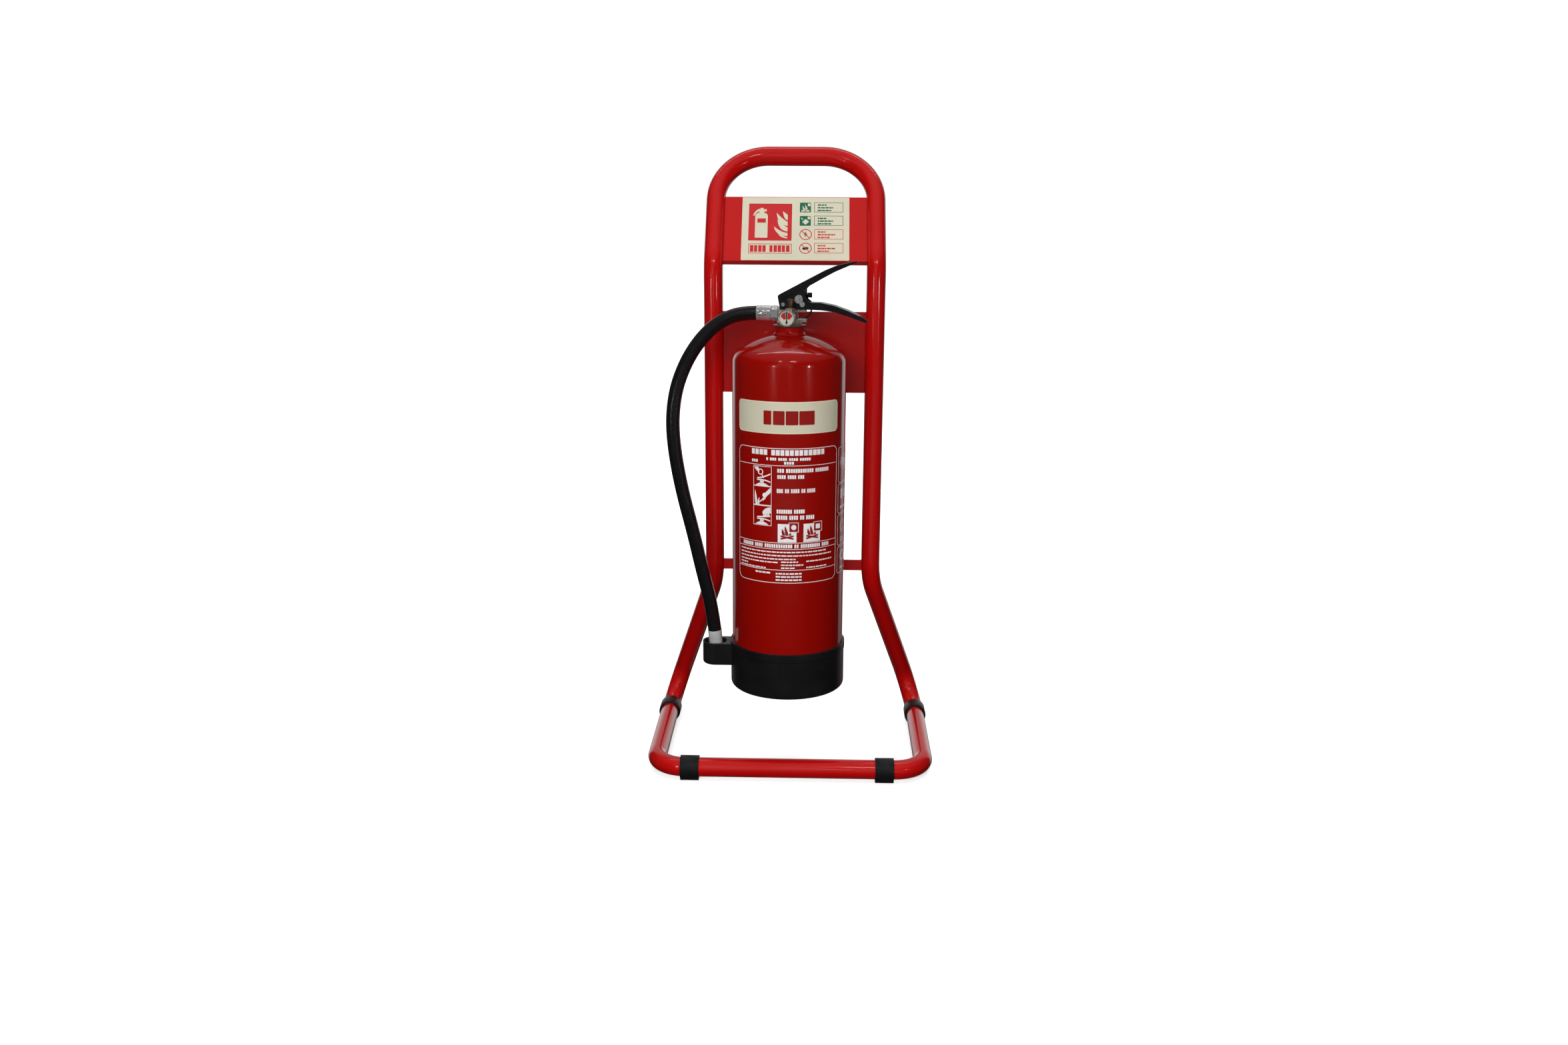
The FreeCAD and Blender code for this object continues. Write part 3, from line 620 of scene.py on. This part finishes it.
def bar(x0, y0, x1, y1, width):
    """A straight stroke from one point to another."""
    along = Vector((x1 - x0, y1 - y0)).normalized() * (width / 2)
    nx, ny = -along.y, along.x
    return [(x0 + nx, y0 + ny), (x0 - nx, y0 - ny), (x1 - nx, y1 - ny), (x1 + nx, y1 + ny)]


def bend(a, b, c, n=7):
    """Points on a smooth bend from a to c, drawn towards b."""
    return [
        (
            (1 - t) ** 2 * a[0] + 2 * t * (1 - t) * b[0] + t * t * c[0],
            (1 - t) ** 2 * a[1] + 2 * t * (1 - t) * b[1] + t * t * c[1],
        )
        for t in (k / n for k in range(n + 1))
    ]


def feather(tip, root_low, root_high, belly):
    """One tongue of flame: from its tip down to a short root, with both edges bent."""
    upper = bend(tip, (tip[0] + belly * 1.3, (tip[1] + root_high[1]) / 2 - belly * 0.55), root_high)
    lower = bend(root_low, (tip[0] + belly * 0.25, root_low[1] + belly * 0.15), tip)
    return upper + lower[:-1]


def flame(x, y, wide, high, lean):
    """A leaf of flame that stands on (x, y) and leans to one side at its tip."""
    tip = (x + lean, y + high)
    left = bend((x - wide * 0.4, y), (x - wide * 0.95, y + high * 0.55), tip)
    right = bend(tip, (x + wide * 0.2, y + high * 0.5), (x + wide * 0.5, y))
    return left + right[1:]


def blocks(x0, x1, y0, y1, counts, gap=0.2):
    """Plain blocks in groups, the size and rhythm of a line of print, with no letters."""
    word_gap = 0.7
    pitch = (x1 - x0) / (sum(counts) + word_gap * (len(counts) - 1))
    made = []
    x = x0
    for count in counts:
        for _ in range(count):
            wide = pitch * (1 - gap) * random.uniform(0.86, 1.0)
            made.append((rect(x, y0, x + wide, y1), []))
            x += pitch
        x += word_gap * pitch
    return made


def dashes(x0, x1, y0, y1, low=2.2, high=7.5, space=1.0):
    """A line of small print as plain dashes."""
    made = []
    x = x0
    while x < x1 - 1.0:
        end = min(x1, x + random.uniform(low, high))
        made.append((rect(x, y0, end, y1), []))
        x = end + space
    return made


def frame_line(x0, y0, x1, y1, r, width):
    """A border of even width with round corners."""
    inner = rounded(x0 + width, y0 + width, x1 - width, y1 - width, max(0.05, r - width))
    return (rounded(x0, y0, x1, y1, r), [inner])


def stack(plates, place, step):
    """One mesh of thin closed plates. Each is (outline, holes, low, high, material number).

    A step cuts them into strips of that width, so that they can follow a curved wall.
    """
    verts = []
    faces = []
    numbers = []
    for outline, holes, low, high, number in plates:
        flat = bmesh.new()
        loops = [[Vector((x, y, 0)) for x, y in loop] for loop in [outline, *holes]]
        made = [flat.verts.new(p) for loop in loops for p in loop]
        for corner in tessellate_polygon(loops):
            flat.faces.new([made[i] for i in corner])
        if step:
            left = min(x for x, _ in outline)
            right = max(x for x, _ in outline)
            cut = (math.floor(left / step) + 1) * step
            while cut < right - 1e-4:
                geom = flat.verts[:] + flat.edges[:] + flat.faces[:]
                at = (cut, 0, 0)
                bmesh.ops.bisect_plane(flat, geom=geom, dist=1e-6, plane_co=at, plane_no=(1, 0, 0))
                cut += step
        raised = bmesh.ops.extrude_face_region(flat, geom=flat.faces[:], use_keep_orig=True)
        for v in flat.verts:
            v.co.z = low
        for item in raised["geom"]:
            if isinstance(item, bmesh.types.BMVert):
                item.co.z = high
        bmesh.ops.recalc_face_normals(flat, faces=flat.faces[:])
        flat.verts.index_update()
        start = len(verts)
        verts.extend(tuple(place(*v.co)) for v in flat.verts)
        for f in flat.faces:
            faces.append([start + v.index for v in f.verts])
            numbers.append(number)
        flat.free()
    mesh = bpy.data.meshes.new("plates")
    mesh.from_pydata(verts, [], faces)
    mesh.polygons.foreach_set("material_index", numbers)
    smooth(mesh, 25)
    return mesh


# steps in the height of a layer's shapes, in millimetres, and how many there are
LIFT = 0.004
LIFTS = 6


def artwork(name, place, layers, body, stands_for=(), step=0.0):
    """A label or print as one piece. layers is a list of (material, low, high, shapes)."""
    plates = []
    for number, (_, low, high, shapes) in enumerate(layers):
        for k, (outline, holes) in enumerate(shapes):
            # close neighbours in the list differ a little in height, to keep crossing shapes apart
            plates.append((outline, holes, low, high + LIFT * (k % LIFTS), number))
    mesh = stack(plates, place, step)
    mesh.name = name
    for look, *_ in layers:
        mesh.materials.append(look)
    return link(name, mesh, body, stands_for)


# how finely a label bends round the cylinder, and where its layers start and end above the wall
WALL_STEP = 2.4
BASE_W = (0.02, 0.30)
INK_W = (0.26, 0.36)
PANEL_W = (0.32, 0.40)
MARK_W = (0.36, 0.43)
LABEL_HALF = math.radians(57) * (SHELL_R + 0.3)


def solid(*outlines):
    return [(outline, []) for outline in outlines]


# ---------------------------------------------------------------- the cylinder's labels
def make_band_label():
    """A cream band round the cylinder with a red word made of plain blocks."""
    half = LABEL_HALF
    low = 512.5
    high = 556.0
    border = frame_line(-half + 0.2, low + 0.2, half - 0.2, high - 0.2, 5.8, 0.9)
    word = []
    for x0, x1 in ((-34.0, -22.6), (-20.3, -4.2), (-2.8, 14.4), (15.6, 37.6)):
        word.append((rounded(x0, 524.6, x1, 543.7, 1.2), []))
    artwork(
        "band_label_sheet",
        on_wall,
        [
            (LOOKS["label_vinyl"], *BASE_W, solid(rounded(-half, low, half, high, 6.0))),
            (INKS["pale"], *INK_W, [border]),
            (INKS["deep_red"], *INK_W, word),
        ],
        "extinguisher",
        ["band_label"],
        WALL_STEP,
    )


def picture_pin(x, y):
    """A ring being drawn out of a valve head."""
    finger = bend((x + 1.2, y + 27), (x + 4, y + 21), (x + 9.5, y + 20))
    finger += bend((x + 9.5, y + 23.4), (x + 8, y + 24.5), (x + 8.5, y + 27))
    return valve_head(x, y, 6.0) + [
        (disc(x + 11.4, y + 20.6, 4.2), [disc(x + 11.4, y + 20.6, 2.9)]),
        (bar(x + 13.6, y + 17.0, x + 16.2, y + 12.4, 1.2), []),
        (finger, []),
    ]


def picture_aim(x, y):
    """A hand that points a nozzle at the foot of a flame."""
    arm = bend((x + 27, y + 27), (x + 22, y + 22), (x + 17, y + 17))
    arm += bend((x + 19.5, y + 13.5), (x + 24, y + 16), (x + 27, y + 20))
    return [
        (arm, []),
        (bar(x + 18.5, y + 12, x + 14.5, y + 8.5, 3.0), []),
        (bar(x + 14, y + 8.5, x + 8.5, y + 4.5, 1.5), []),
        (disc(x + 18.0, y + 15.2, 3.4), []),
        (flame(x + 5.0, y + 1.8, 4.0, 20.0, -2.0), []),
        (flame(x + 8.4, y + 1.8, 2.6, 10.0, 1.6), []),
        (bar(x + 1, y + 1.4, x + 27, y + 1.4, 0.8), []),
    ]


def valve_head(x, y, gap):
    """The dome and the two levers of an extinguisher, with a gap between the levers' ends."""
    upper = bend((x + 6, y + 12.4), (x + 15, y + 13.5), (x + 26, y + 13 + gap))
    upper += bend((x + 26.4, y + 11.4 + gap), (x + 15, y + 11.4), (x + 6, y + 10.8))
    lower = bend((x + 6, y + 10.0), (x + 18, y + 11.5), (x + 26.6, y + 7.5))
    lower += bend((x + 26.0, y + 6.2), (x + 18, y + 9.4), (x + 6, y + 8.4))
    return [
        (upper, []),
        (lower, []),
        (rect(x + 10.6, y + 6.0, x + 16.4, y + 8.2), []),
        (bend((x + 3, y + 1.2), (x + 13.5, y + 10.0), (x + 24, y + 1.2)), []),
    ]


def picture_squeeze(x, y):
    """Fingers that press the two levers together."""
    fingers = []
    for k in range(4):
        knuckle = (x + 15.5 + 2.7 * k, y + 19.5 - 0.3 * k)
        fingers.append((bar(*knuckle, x + 17.2 + 2.4 * k, y + 12.6, 2.0), []))
    hand = bend((x + 14.5, y + 18.2), (x + 17, y + 25.5), (x + 27, y + 26.5))
    hand += bend((x + 27, y + 18.0), (x + 22, y + 17.2), (x + 16, y + 17.2))
    return valve_head(x, y, 1.5) + fingers + [(hand, [])]


def make_instruction_label():
    """The large label: a heading, three steps with pictures, two fire pictures and small print."""
    half = LABEL_HALF
    low = 302.6
    high = 493.1
    lines = [frame_line(-half + 0.3, low + 0.3, half - 0.3, high - 0.3, 9.0, 0.9)]
    for z in (468.8, 360.6, 351.6, 321.8):
        lines.append((rect(-half + 0.8, z - 0.4, half - 0.8, z + 0.4), []))
    # left, right, bottom, top, letters in each word, gap after a letter as a share of its room
    rows = [
        (-52.8, 55.0, 482.8, 490.4, (4, 12), 0.1),
        (-29.7, 32.7, 475.8, 479.6, (1, 3, 4, 4, 5), 0.12),
        (-4.6, 9.3, 470.7, 474.4, (4,), 0.12),
        (-52.6, -42.2, 472.0, 475.8, (3,), 0.12),
        (-13.9, 62.5, 459.2, 464.6, (3, 12, 7), 0.16),
        (-13.8, 23.7, 450.7, 455.9, (4, 4, 3), 0.16),
        (-14.5, 39.9, 431.0, 436.6, (3, 2, 4, 2, 4), 0.16),
        (-14.5, 25.0, 402.2, 407.8, (7, 5), 0.16),
        (-15.1, 39.1, 393.6, 399.4, (5, 4, 2, 4), 0.16),
        (-69.5, 64.6, 353.4, 358.6, (6, 4, 12, 2, 9, 4), 0.16),
    ]
    words = [shape for row in rows for shape in blocks(*row)]
    # small print: the height of each line and where it ends
    left_print = [(347.3, 59.0), (342.3, 69.0), (337.4, 12.0), (332.6, -12.8), (328.2, -60.0)]
    left_print.append((324.0, -30.0))
    for z, end in left_print:
        words += dashes(-74.5, end, z - 0.9, z + 0.9)
    for z, end in ((333.4, 15.7), (329.0, 23.0), (324.8, 12.2)):
        words += dashes(-8.0, end, z - 0.9, z + 0.9)
    words += dashes(27.3, 70.2, 333.0, 334.8) + dashes(27.4, 60.1, 324.2, 326.0)
    words += dashes(-46.2, -23.5, 316.0, 318.4)
    for z in (316.6, 312.2, 307.6):
        words += dashes(-15.5, 20.8, z - 1.1, z + 1.1)
    frames = []
    for z0, picture in ((438.4, picture_pin), (411.3, picture_aim), (383.8, picture_squeeze)):
        frames.append(frame_line(-50.0, z0, -21.8, z0 + 28.6, 0.4, 0.7))
        frames += picture(-49.9, z0)
    panels = solid(rect(-12.9, 361.6, 13.1, 387.5), rect(22.9, 361.6, 48.2, 387.5))
    fires = []
    # on each panel: crossed logs with three flames over them
    for x in (-12.9, 22.9):
        fires.append((bar(x + 4, 366.5, x + 22, 370.5, 2.4), []))
        fires.append((bar(x + 4, 370.5, x + 22, 366.5, 2.4), []))
        fires.append((flame(x + 8.5, 371.2, 4.4, 9.6, -2.2), []))
        fires.append((flame(x + 12.8, 371.2, 4.6, 13.8, -2.6), []))
        fires.append((flame(x + 17.4, 371.2, 3.6, 4.2, 1.2), []))
    tags = []
    tag_lines = []
    for x in (2.4, 37.7):
        tags.append((rect(x, 375.8, x + 13.6, 389.7), []))
        tag_lines.append(frame_line(x, 375.8, x + 13.6, 389.7, 0.3, 0.7))
    marks = solid(disc(9.2, 382.8, 3.6), rect(41.0, 379.4, 48.0, 386.2))
    artwork(
        "instruction_label_sheet",
        on_wall,
        [
            (LOOKS["instruction_vinyl"], *BASE_W, solid(rounded(-half, low, half, high, 9.3))),
            (INKS["white"], *INK_W, lines + words + frames + panels),
            (INKS["deep_red"], *PANEL_W, fires + tags),
            (INKS["white"], *MARK_W, tag_lines + marks),
        ],
        "extinguisher",
        ["instruction_label"],
        WALL_STEP,
    )


def make_side_label():
    """Four small framed signs, one above the other, beside the large label."""
    left = math.radians(60) * (SHELL_R + 0.3)
    right = math.radians(86) * (SHELL_R + 0.3)
    x0 = left + 0.6
    x1 = right - 0.6
    middle = (x0 + x1) / 2
    lines = []
    marks = []
    for z0, z1 in ((437.6, 488.0), (393.4, 436.2), (347.0, 391.8), (306.6, 345.4)):
        lines.append(frame_line(x0, z0, x1, z1, 4.0, 0.8))
    marks.append((disc(middle, 466, 11), [disc(middle, 466, 9.6)]))
    marks.append((disc(middle, 466, 6.5), []))
    for x in (middle - 9, middle + 2):
        marks += solid(rounded(x, 414, x + 7, 428, 2))
    marks += dashes(middle - 10, middle + 10, 400.0, 403.6, 3, 5)
    marks.append((disc(middle, 374, 9), [disc(middle, 374, 7.4)]))
    for z in (356.0, 352.0):
        marks += dashes(middle - 8, middle + 8, z, z + 2.0, 3, 5)
    marks.append((disc(middle, 331, 8.5), [disc(middle, 331, 5.0)]))
    marks += dashes(middle - 8, middle + 8, 312.0, 315.0, 3, 5)
    artwork(
        "side_label_sheet",
        on_wall,
        [
            (LOOKS["instruction_vinyl"], *BASE_W, solid(rounded(left, 306.0, right, 490.0, 4.6))),
            (INKS["white"], *INK_W, lines + marks),
        ],
        "extinguisher",
        ["side_label"],
        WALL_STEP,
    )


# ---------------------------------------------------------------- the sign
def make_sign():
    """The sticker of the sloping sign: a picture of an extinguisher and four framed notes."""
    flames = [
        (feather((-18.8, 88.5), (-11.6, 73.4), (-11.6, 82.5), 6), []),
        (feather((-27.9, 86.2), (-11.6, 63.8), (-11.6, 70.6), 7), []),
        (feather((-26.6, 74.5), (-11.6, 54.4), (-11.6, 61.2), 7), []),
        (feather((-31.4, 62.6), (-11.6, 46.4), (-11.6, 51.8), 8), []),
        (feather((-25.9, 53.8), (-11.6, 42.6), (-11.6, 44.2), 6), []),
    ]
    shoulders = [(-40.8, 78.0)] + bend((-40.8, 80.5), (-41.2, 84.6), (-46.4, 86.2))
    shoulders += [(-46.4, 88.0), (-42.6, 88.4), (-42.8, 92.2), (-47.0, 91.6), (-47.4, 94.2)]
    shoulders += [(-51.6, 94.2), (-52.0, 92.0)]
    hose = bend((-54.0, 92.6), (-60.6, 88.6), (-62.4, 81.2))
    hose += bend((-60.2, 81.0), (-58.8, 86.4), (-53.0, 88.6))
    far_side = bend((-53.6, 86.2), (-58.8, 84.6), (-59.2, 80.5)) + [(-59.2, 78.0)]
    bottle = [(-59.2, 43.6), (-40.8, 43.6)] + shoulders + hose + far_side
    bolt = [(0.8, 6.0), (-3.4, -0.6), (-0.4, -0.2), (-2.0, -6.2), (3.2, 1.6), (0.4, 1.2)]
    pan = [(-5.2, -2.2), (-1.4, -3.6), (4.8, -1.2), (5.4, 1.6), (0.6, 2.6), (-2.2, 1.4), (-5.4, 1.2)]
    reds = [(rect(-68.7, 38.8, -5.4, 101.6), []), frame_line(-67.9, 17.2, -5.0, 33.6, 0.3, 0.9)]
    reds += blocks(-65.6, -7.2, 19.9, 31.0, (4, 5), 0.16)
    blacks = []
    ring_x = 15.0
    mark_scale = 0.85
    line_gap = 4.6
    for y, mark in ((49.4, bolt), (26.3, pan)):
        # a mark in a ring with a stroke across it, and beside it three lines in a frame
        reds.append((disc(ring_x, y, 9.2, 40), [disc(ring_x, y, 7.9, 40)]))
        reds.append((bar(ring_x - 6.2, y + 6.2, ring_x + 6.2, y - 6.2, 1.2), []))
        blacks.append(([(ring_x + a * mark_scale, y + b * mark_scale) for a, b in mark], []))
        reds.append(frame_line(27.6, y - 8.0, 69.8, y + 8.8, 0.3, 0.7))
        for k, end in enumerate((44.0, 58.0, 50.0)):
            z = y + 3.3 - line_gap * k
            reds += dashes(32.4, end, z, z + 2.2, 2.4, 6.0, 0.7)
    greens = []
    for y in (87.0, 64.2):
        greens.append((rounded(6.0, y, 22.3, y + 16.6, 1.2), []))
        greens.append(frame_line(27.0, y + 0.4, 69.5, y + 17.2, 0.3, 0.7))
        for k, end in enumerate((46.0, 55.0, 53.0)):
            z = y + 11.6 - line_gap * k
            greens += dashes(32.2, end, z, z + 2.2, 2.4, 6.0, 0.7)
    pictures = [
        (feather((9.6, 98.6), (11.0, 91.4), (14.0, 91.4), 3.0), []),
        (feather((13.6, 100.8), (13.8, 91.4), (17.0, 91.8), 3.2), []),
        (bar(8.2, 88.4, 20.0, 90.8, 1.3), []),
        (bar(8.2, 90.8, 20.0, 88.4, 1.3), []),
        ([(9.6, 70.6), (14.6, 66.0), (19.8, 71.0), (14.8, 75.8)], []),
        (bar(8.0, 77.4, 10.8, 74.6, 1.2), []),
        (rect(17.6, 97.6, 21.6, 102.2), []),
        (rect(17.6, 75.2, 21.6, 79.6), []),
    ]
    cream_shapes = [(bottle, [])] + flames
    artwork(
        "sign_sticker_sheet",
        on_slope,
        [
            (LOOKS["label_vinyl"], 0.0, 0.36, solid(rounded(-78.5, 6.0, 78.5, 112.5, 1.2))),
            (INKS["red"], 0.33, 0.42, reds),
            (INKS["green"], 0.33, 0.42, greens),
            (INKS["black"], 0.33, 0.40, blacks),
            (LOOKS["label_vinyl"], 0.38, 0.46, cream_shapes + pictures),
            (INKS["red"], 0.42, 0.49, solid(rect(-56.0, 69.0, -43.6, 76.2))),
        ],
        "stand",
        ["sign_sticker"],
    )


# ---------------------------------------------------------------- the gauge's dial
def rim_point(degrees, rim):
    """Where a ray from the needle's pivot meets a circle about the dial's middle."""
    turn = math.radians(degrees)
    d = Vector((math.sin(turn), math.cos(turn)))
    o = Vector((0, NEEDLE_Z - DIAL_Z))
    b = o.dot(d)
    reach = -b + math.sqrt(b * b - o.dot(o) + rim * rim)
    return (d.x * reach, NEEDLE_Z + d.y * reach)


def sector(start, end, near, rim, n=6):
    """A piece of the dial between two angles from the needle's pivot, in degrees."""
    outer = [rim_point(start + (end - start) * k / n, rim) for k in range(n + 1)]
    inner = []
    for k in range(n + 1):
        turn = math.radians(end + (start - end) * k / n)
        inner.append((near * math.sin(turn), NEEDLE_Z + near * math.cos(turn)))
    return outer + inner


def make_dial():
    """A green arc between two red ones, and ticks at their rim."""
    tick_width = 0.22
    ticks = []
    for degrees in range(-40, 41, 8):
        ticks.append((bar(*rim_point(degrees, 9.1), *rim_point(degrees, 8.2), tick_width), []))
    artwork(
        "gauge_dial_print",
        on_dial,
        [
            (INKS["red"], 0.0, 0.05, solid(sector(-46, -9, 4.6, 8.3), sector(9, 46, 4.6, 8.3))),
            (INKS["green"], 0.0, 0.05, solid(sector(-7, 7, 5.4, 8.3))),
            (INKS["black"], 0.0, 0.05, ticks),
        ],
        "extinguisher",
    )


make_band_label()
make_instruction_label()
make_side_label()
make_sign()
make_dial()


# ---------------------------------------------------------------- turned and crimped trim
def make_trim():
    """The crimped sleeve on the hose, where it leaves the valve."""
    right = on_valve(1, 0, OUTLET_Z) - on_valve(0, 0, OUTLET_Z)
    sleeve_x = -46.0
    start = on_valve(sleeve_x, 0, OUTLET_Z)
    crimped = [
        (0.0, 9.76), (0.0, 10.1), (0.5, 10.35), (2.4, 10.4), (3.0, 10.15), (3.8, 10.15),
        (4.4, 10.38), (11.0, 10.4), (18.4, 10.38), (19.0, 10.1), (19.8, 10.1), (20.3, 10.3),
        (20.9, 10.0), (21.1, 9.2), (21.1, 6.9), (24.0, 6.9), (24.0, 4.5), (1.0, 4.5), (1.0, 9.76),
    ]
    mesh = lathe("hose_ferrule_crimped", crimped, start, right, segments=64)
    mesh.materials.append(LOOKS["zinc_steel"])
    link("hose_ferrule_crimped", mesh, "extinguisher", ["hose_ferrule"])


def dome(wall, straight_end, way, end_r):
    """Points (height, radius) over a knuckle and a crown, from the straight wall in to end_r."""
    knuckle_r = 22.0
    crown_r = 130.0
    centre = SHELL_R - knuckle_r
    drop = math.sqrt((crown_r - knuckle_r) ** 2 - centre ** 2)
    meet = math.atan2(drop, centre)
    last = math.acos(end_r / (crown_r - wall))
    points = []
    knuckle_steps = 12
    crown_steps = 16
    for k in range(knuckle_steps + 1):
        turn = meet * k / knuckle_steps
        rise = (knuckle_r - wall) * math.sin(turn)
        points.append((straight_end + way * rise, centre + (knuckle_r - wall) * math.cos(turn)))
    for k in range(1, crown_steps + 1):
        turn = meet + (last - meet) * k / crown_steps
        rise = (crown_r - wall) * math.sin(turn) - drop
        points.append((straight_end + way * rise, (crown_r - wall) * math.cos(turn)))
    return points


def make_shell():
    """The pressure shell with a truly round dome, 1.6 mm thick."""
    wall = 1.6
    low = 175.0
    high = 602.0
    bottom_r = 0.5
    neck_r = 20.05
    outside = dome(0.0, low, -1, bottom_r)[::-1] + dome(0.0, high, 1, neck_r)
    inside = dome(wall, high, 1, neck_r)[::-1] + dome(wall, low, -1, bottom_r)
    origin = Vector((AXIS_X, AXIS_Y, 0)) * MM
    mesh = lathe("shell_skin", outside + inside, origin, (0, 0, 1), segments=144)
    mesh.materials.append(LOOKS["shell_paint"])
    link("shell_skin", mesh, "extinguisher", ["cylinder_shell"])


def make_spring():
    """The coil round the valve's stem, at the length it has before the stem is pressed."""
    low = 646.6
    high = 662.4
    turns = 5.5
    steps = 20
    coil_r = 4.6
    wire_r = 0.55 * MM
    path = []
    for k in range(int(turns * steps) + 1):
        turn = math.tau * k / steps
        climb = low + (high - low) * k / (turns * steps)
        path.append(on_valve(coil_r * math.cos(turn), coil_r * math.sin(turn), climb))
    mesh = rings_to_mesh("stem_spring_coil", tube_rings(path, wire_r, segments=12))
    smooth(mesh, 60)
    mesh.materials.append(LOOKS["zinc_steel"])
    coil = link("stem_spring_coil", mesh, "extinguisher", ["stem_spring"])
    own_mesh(coil)


make_trim()
make_shell()
make_spring()


# ---------------------------------------------------------------- floor, light and air
def make_stage():
    """A white floor that runs on into the backdrop; reflections and bounced light leave it out."""
    mesh = bpy.data.meshes.new("floor")
    size = 14.0
    corners = [(-size, -size, 0), (size, -size, 0), (size, size, 0), (-size, size, 0)]
    mesh.from_pydata(corners, [], [(0, 1, 2, 3)])
    floor = bpy.data.objects.new("floor", mesh)
    SCENE.collection.objects.link(floor)
    pale = finish(
        "floor_look", (0.93, 0.93, 0.93), vary=0.005, vary_scale=0.6, rough=0.6, rough_span=0.03,
        rough_scale=3, bump=0.0, bump_scale=50,
    )
    tree = pale.node_tree
    glow = next(n for n in tree.nodes if n.type == "BSDF_PRINCIPLED")
    glow.inputs["Emission Color"].default_value = (1, 1, 1, 1)
    where = next(n for n in tree.nodes if n.type == "TEX_COORD").outputs["Object"]
    distance = tree.nodes.new("ShaderNodeVectorMath")
    distance.operation = "LENGTH"
    tree.links.new(where, distance.inputs[0])
    # it shines less near the object, and about as brightly as the backdrop further off
    fade = ranged(tree, distance.outputs["Value"], span=(0.3, 1.6), onto=(0.62, 1.1), soft=True)
    tree.links.new(fade, glow.inputs["Emission Strength"])
    mesh.materials.append(pale)
    floor.visible_glossy = False
    floor.visible_diffuse = False


def area_light(name, place, target, width, height, power, glossy=True):
    data = bpy.data.lights.new(name, "AREA")
    data.shape = "RECTANGLE"
    data.size = width
    data.size_y = height
    data.energy = power
    lamp = bpy.data.objects.new(name, data)
    lamp.location = place
    lamp.rotation_euler = (Vector(target) - Vector(place)).to_track_quat("-Z", "Y").to_euler()
    lamp.visible_glossy = glossy
    SCENE.collection.objects.link(lamp)


def make_air():
    """The camera sees a plain white backdrop; surfaces mirror a dim room with a white wall behind."""
    world = bpy.data.worlds.new("studio")
    SCENE.world = world
    world.use_nodes = True
    tree = world.node_tree
    tree.nodes.clear()
    out = tree.nodes.new("ShaderNodeOutputWorld")
    seen = tree.nodes.new("ShaderNodeBackground")
    seen.inputs["Strength"].default_value = 1.05
    room = tree.nodes.new("ShaderNodeBackground")
    mix = tree.nodes.new("ShaderNodeMixShader")
    path = tree.nodes.new("ShaderNodeLightPath")
    where = tree.nodes.new("ShaderNodeTexCoord")
    split = tree.nodes.new("ShaderNodeSeparateXYZ")
    tree.links.new(where.outputs["Generated"], split.inputs[0])
    east, north, height = split.outputs
    # the white wall behind the object fills about 45 degrees to each side; the rest of the room is dim
    wall_shift = 0.08
    aside = worked(tree, "ABSOLUTE", worked(tree, "SUBTRACT", east, wall_shift))
    behind = worked(tree, "SUBTRACT", north, aside)
    wall = ranged(tree, behind, span=(0.0, 0.12), onto=(0.02, 0.8), soft=True)
    # little comes up from under the floor, and the wall darkens upwards
    above_floor = ranged(tree, height, span=(-0.42, -0.08), onto=(0.08, 1.0), soft=True)
    darker_up = ranged(tree, height, span=(0.08, 0.4), onto=(1.0, 0.4), soft=True)
    walls = worked(tree, "MULTIPLY", worked(tree, "MULTIPLY", wall, above_floor), darker_up)
    # the pale ceiling starts well above the horizon
    ceiling = ranged(tree, height, span=(0.35, 0.75), onto=(0.0, 0.12), soft=True)
    tree.links.new(worked(tree, "MAXIMUM", walls, ceiling), room.inputs["Strength"])
    tree.links.new(path.outputs["Is Camera Ray"], mix.inputs[0])
    tree.links.new(room.outputs[0], mix.inputs[1])
    tree.links.new(seen.outputs[0], mix.inputs[2])
    tree.links.new(mix.outputs[0], out.inputs[0])
    seen.inputs["Color"].default_value = (1, 1, 1, 1)
    room.inputs["Color"].default_value = (1, 1, 1, 1)


make_stage()
make_air()
MIDDLE = (0.0, 0.0, 0.45)
FLOOR = (0, 0, 0)
area_light("overhead", (0.0, -0.2, 3.2), FLOOR, width=3.0, height=2.6, power=46, glossy=False)
area_light("front_fill", (-0.5, -3.0, 1.3), MIDDLE, width=1.6, height=1.3, power=56, glossy=False)
area_light("back_fill", (0.6, 3.0, 1.6), MIDDLE, width=2.0, height=1.6, power=26, glossy=False)
area_light("camera_box", (0.10, -2.0, 0.58), (0, 0, 0.66), width=0.10, height=0.12, power=0.07)
area_light("left_box", (-0.7, -2.1, 2.2), MIDDLE, width=0.14, height=0.12, power=1.2)
area_light("right_box", (0.35, -2.2, 2.2), MIDDLE, width=0.4, height=0.14, power=2.4)
area_light("left_strip", (-1.1, -2.0, 0.66), (0, 0, 0.66), width=0.025, height=0.26, power=1.6)
area_light("right_strip", (1.35, -1.7, 0.66), (0, 0, 0.66), width=0.025, height=0.26, power=1.6)
area_light("top_strip", (0.0, 0.7, 2.8), FLOOR, width=3.0, height=0.05, power=4.0)
area_light(
    "low_fill", (0.0, -1.3, 0.12), (0, 0, 0.25), width=1.2, height=0.2, power=3.0, glossy=False
)
SCENE.view_settings.view_transform = "Standard"
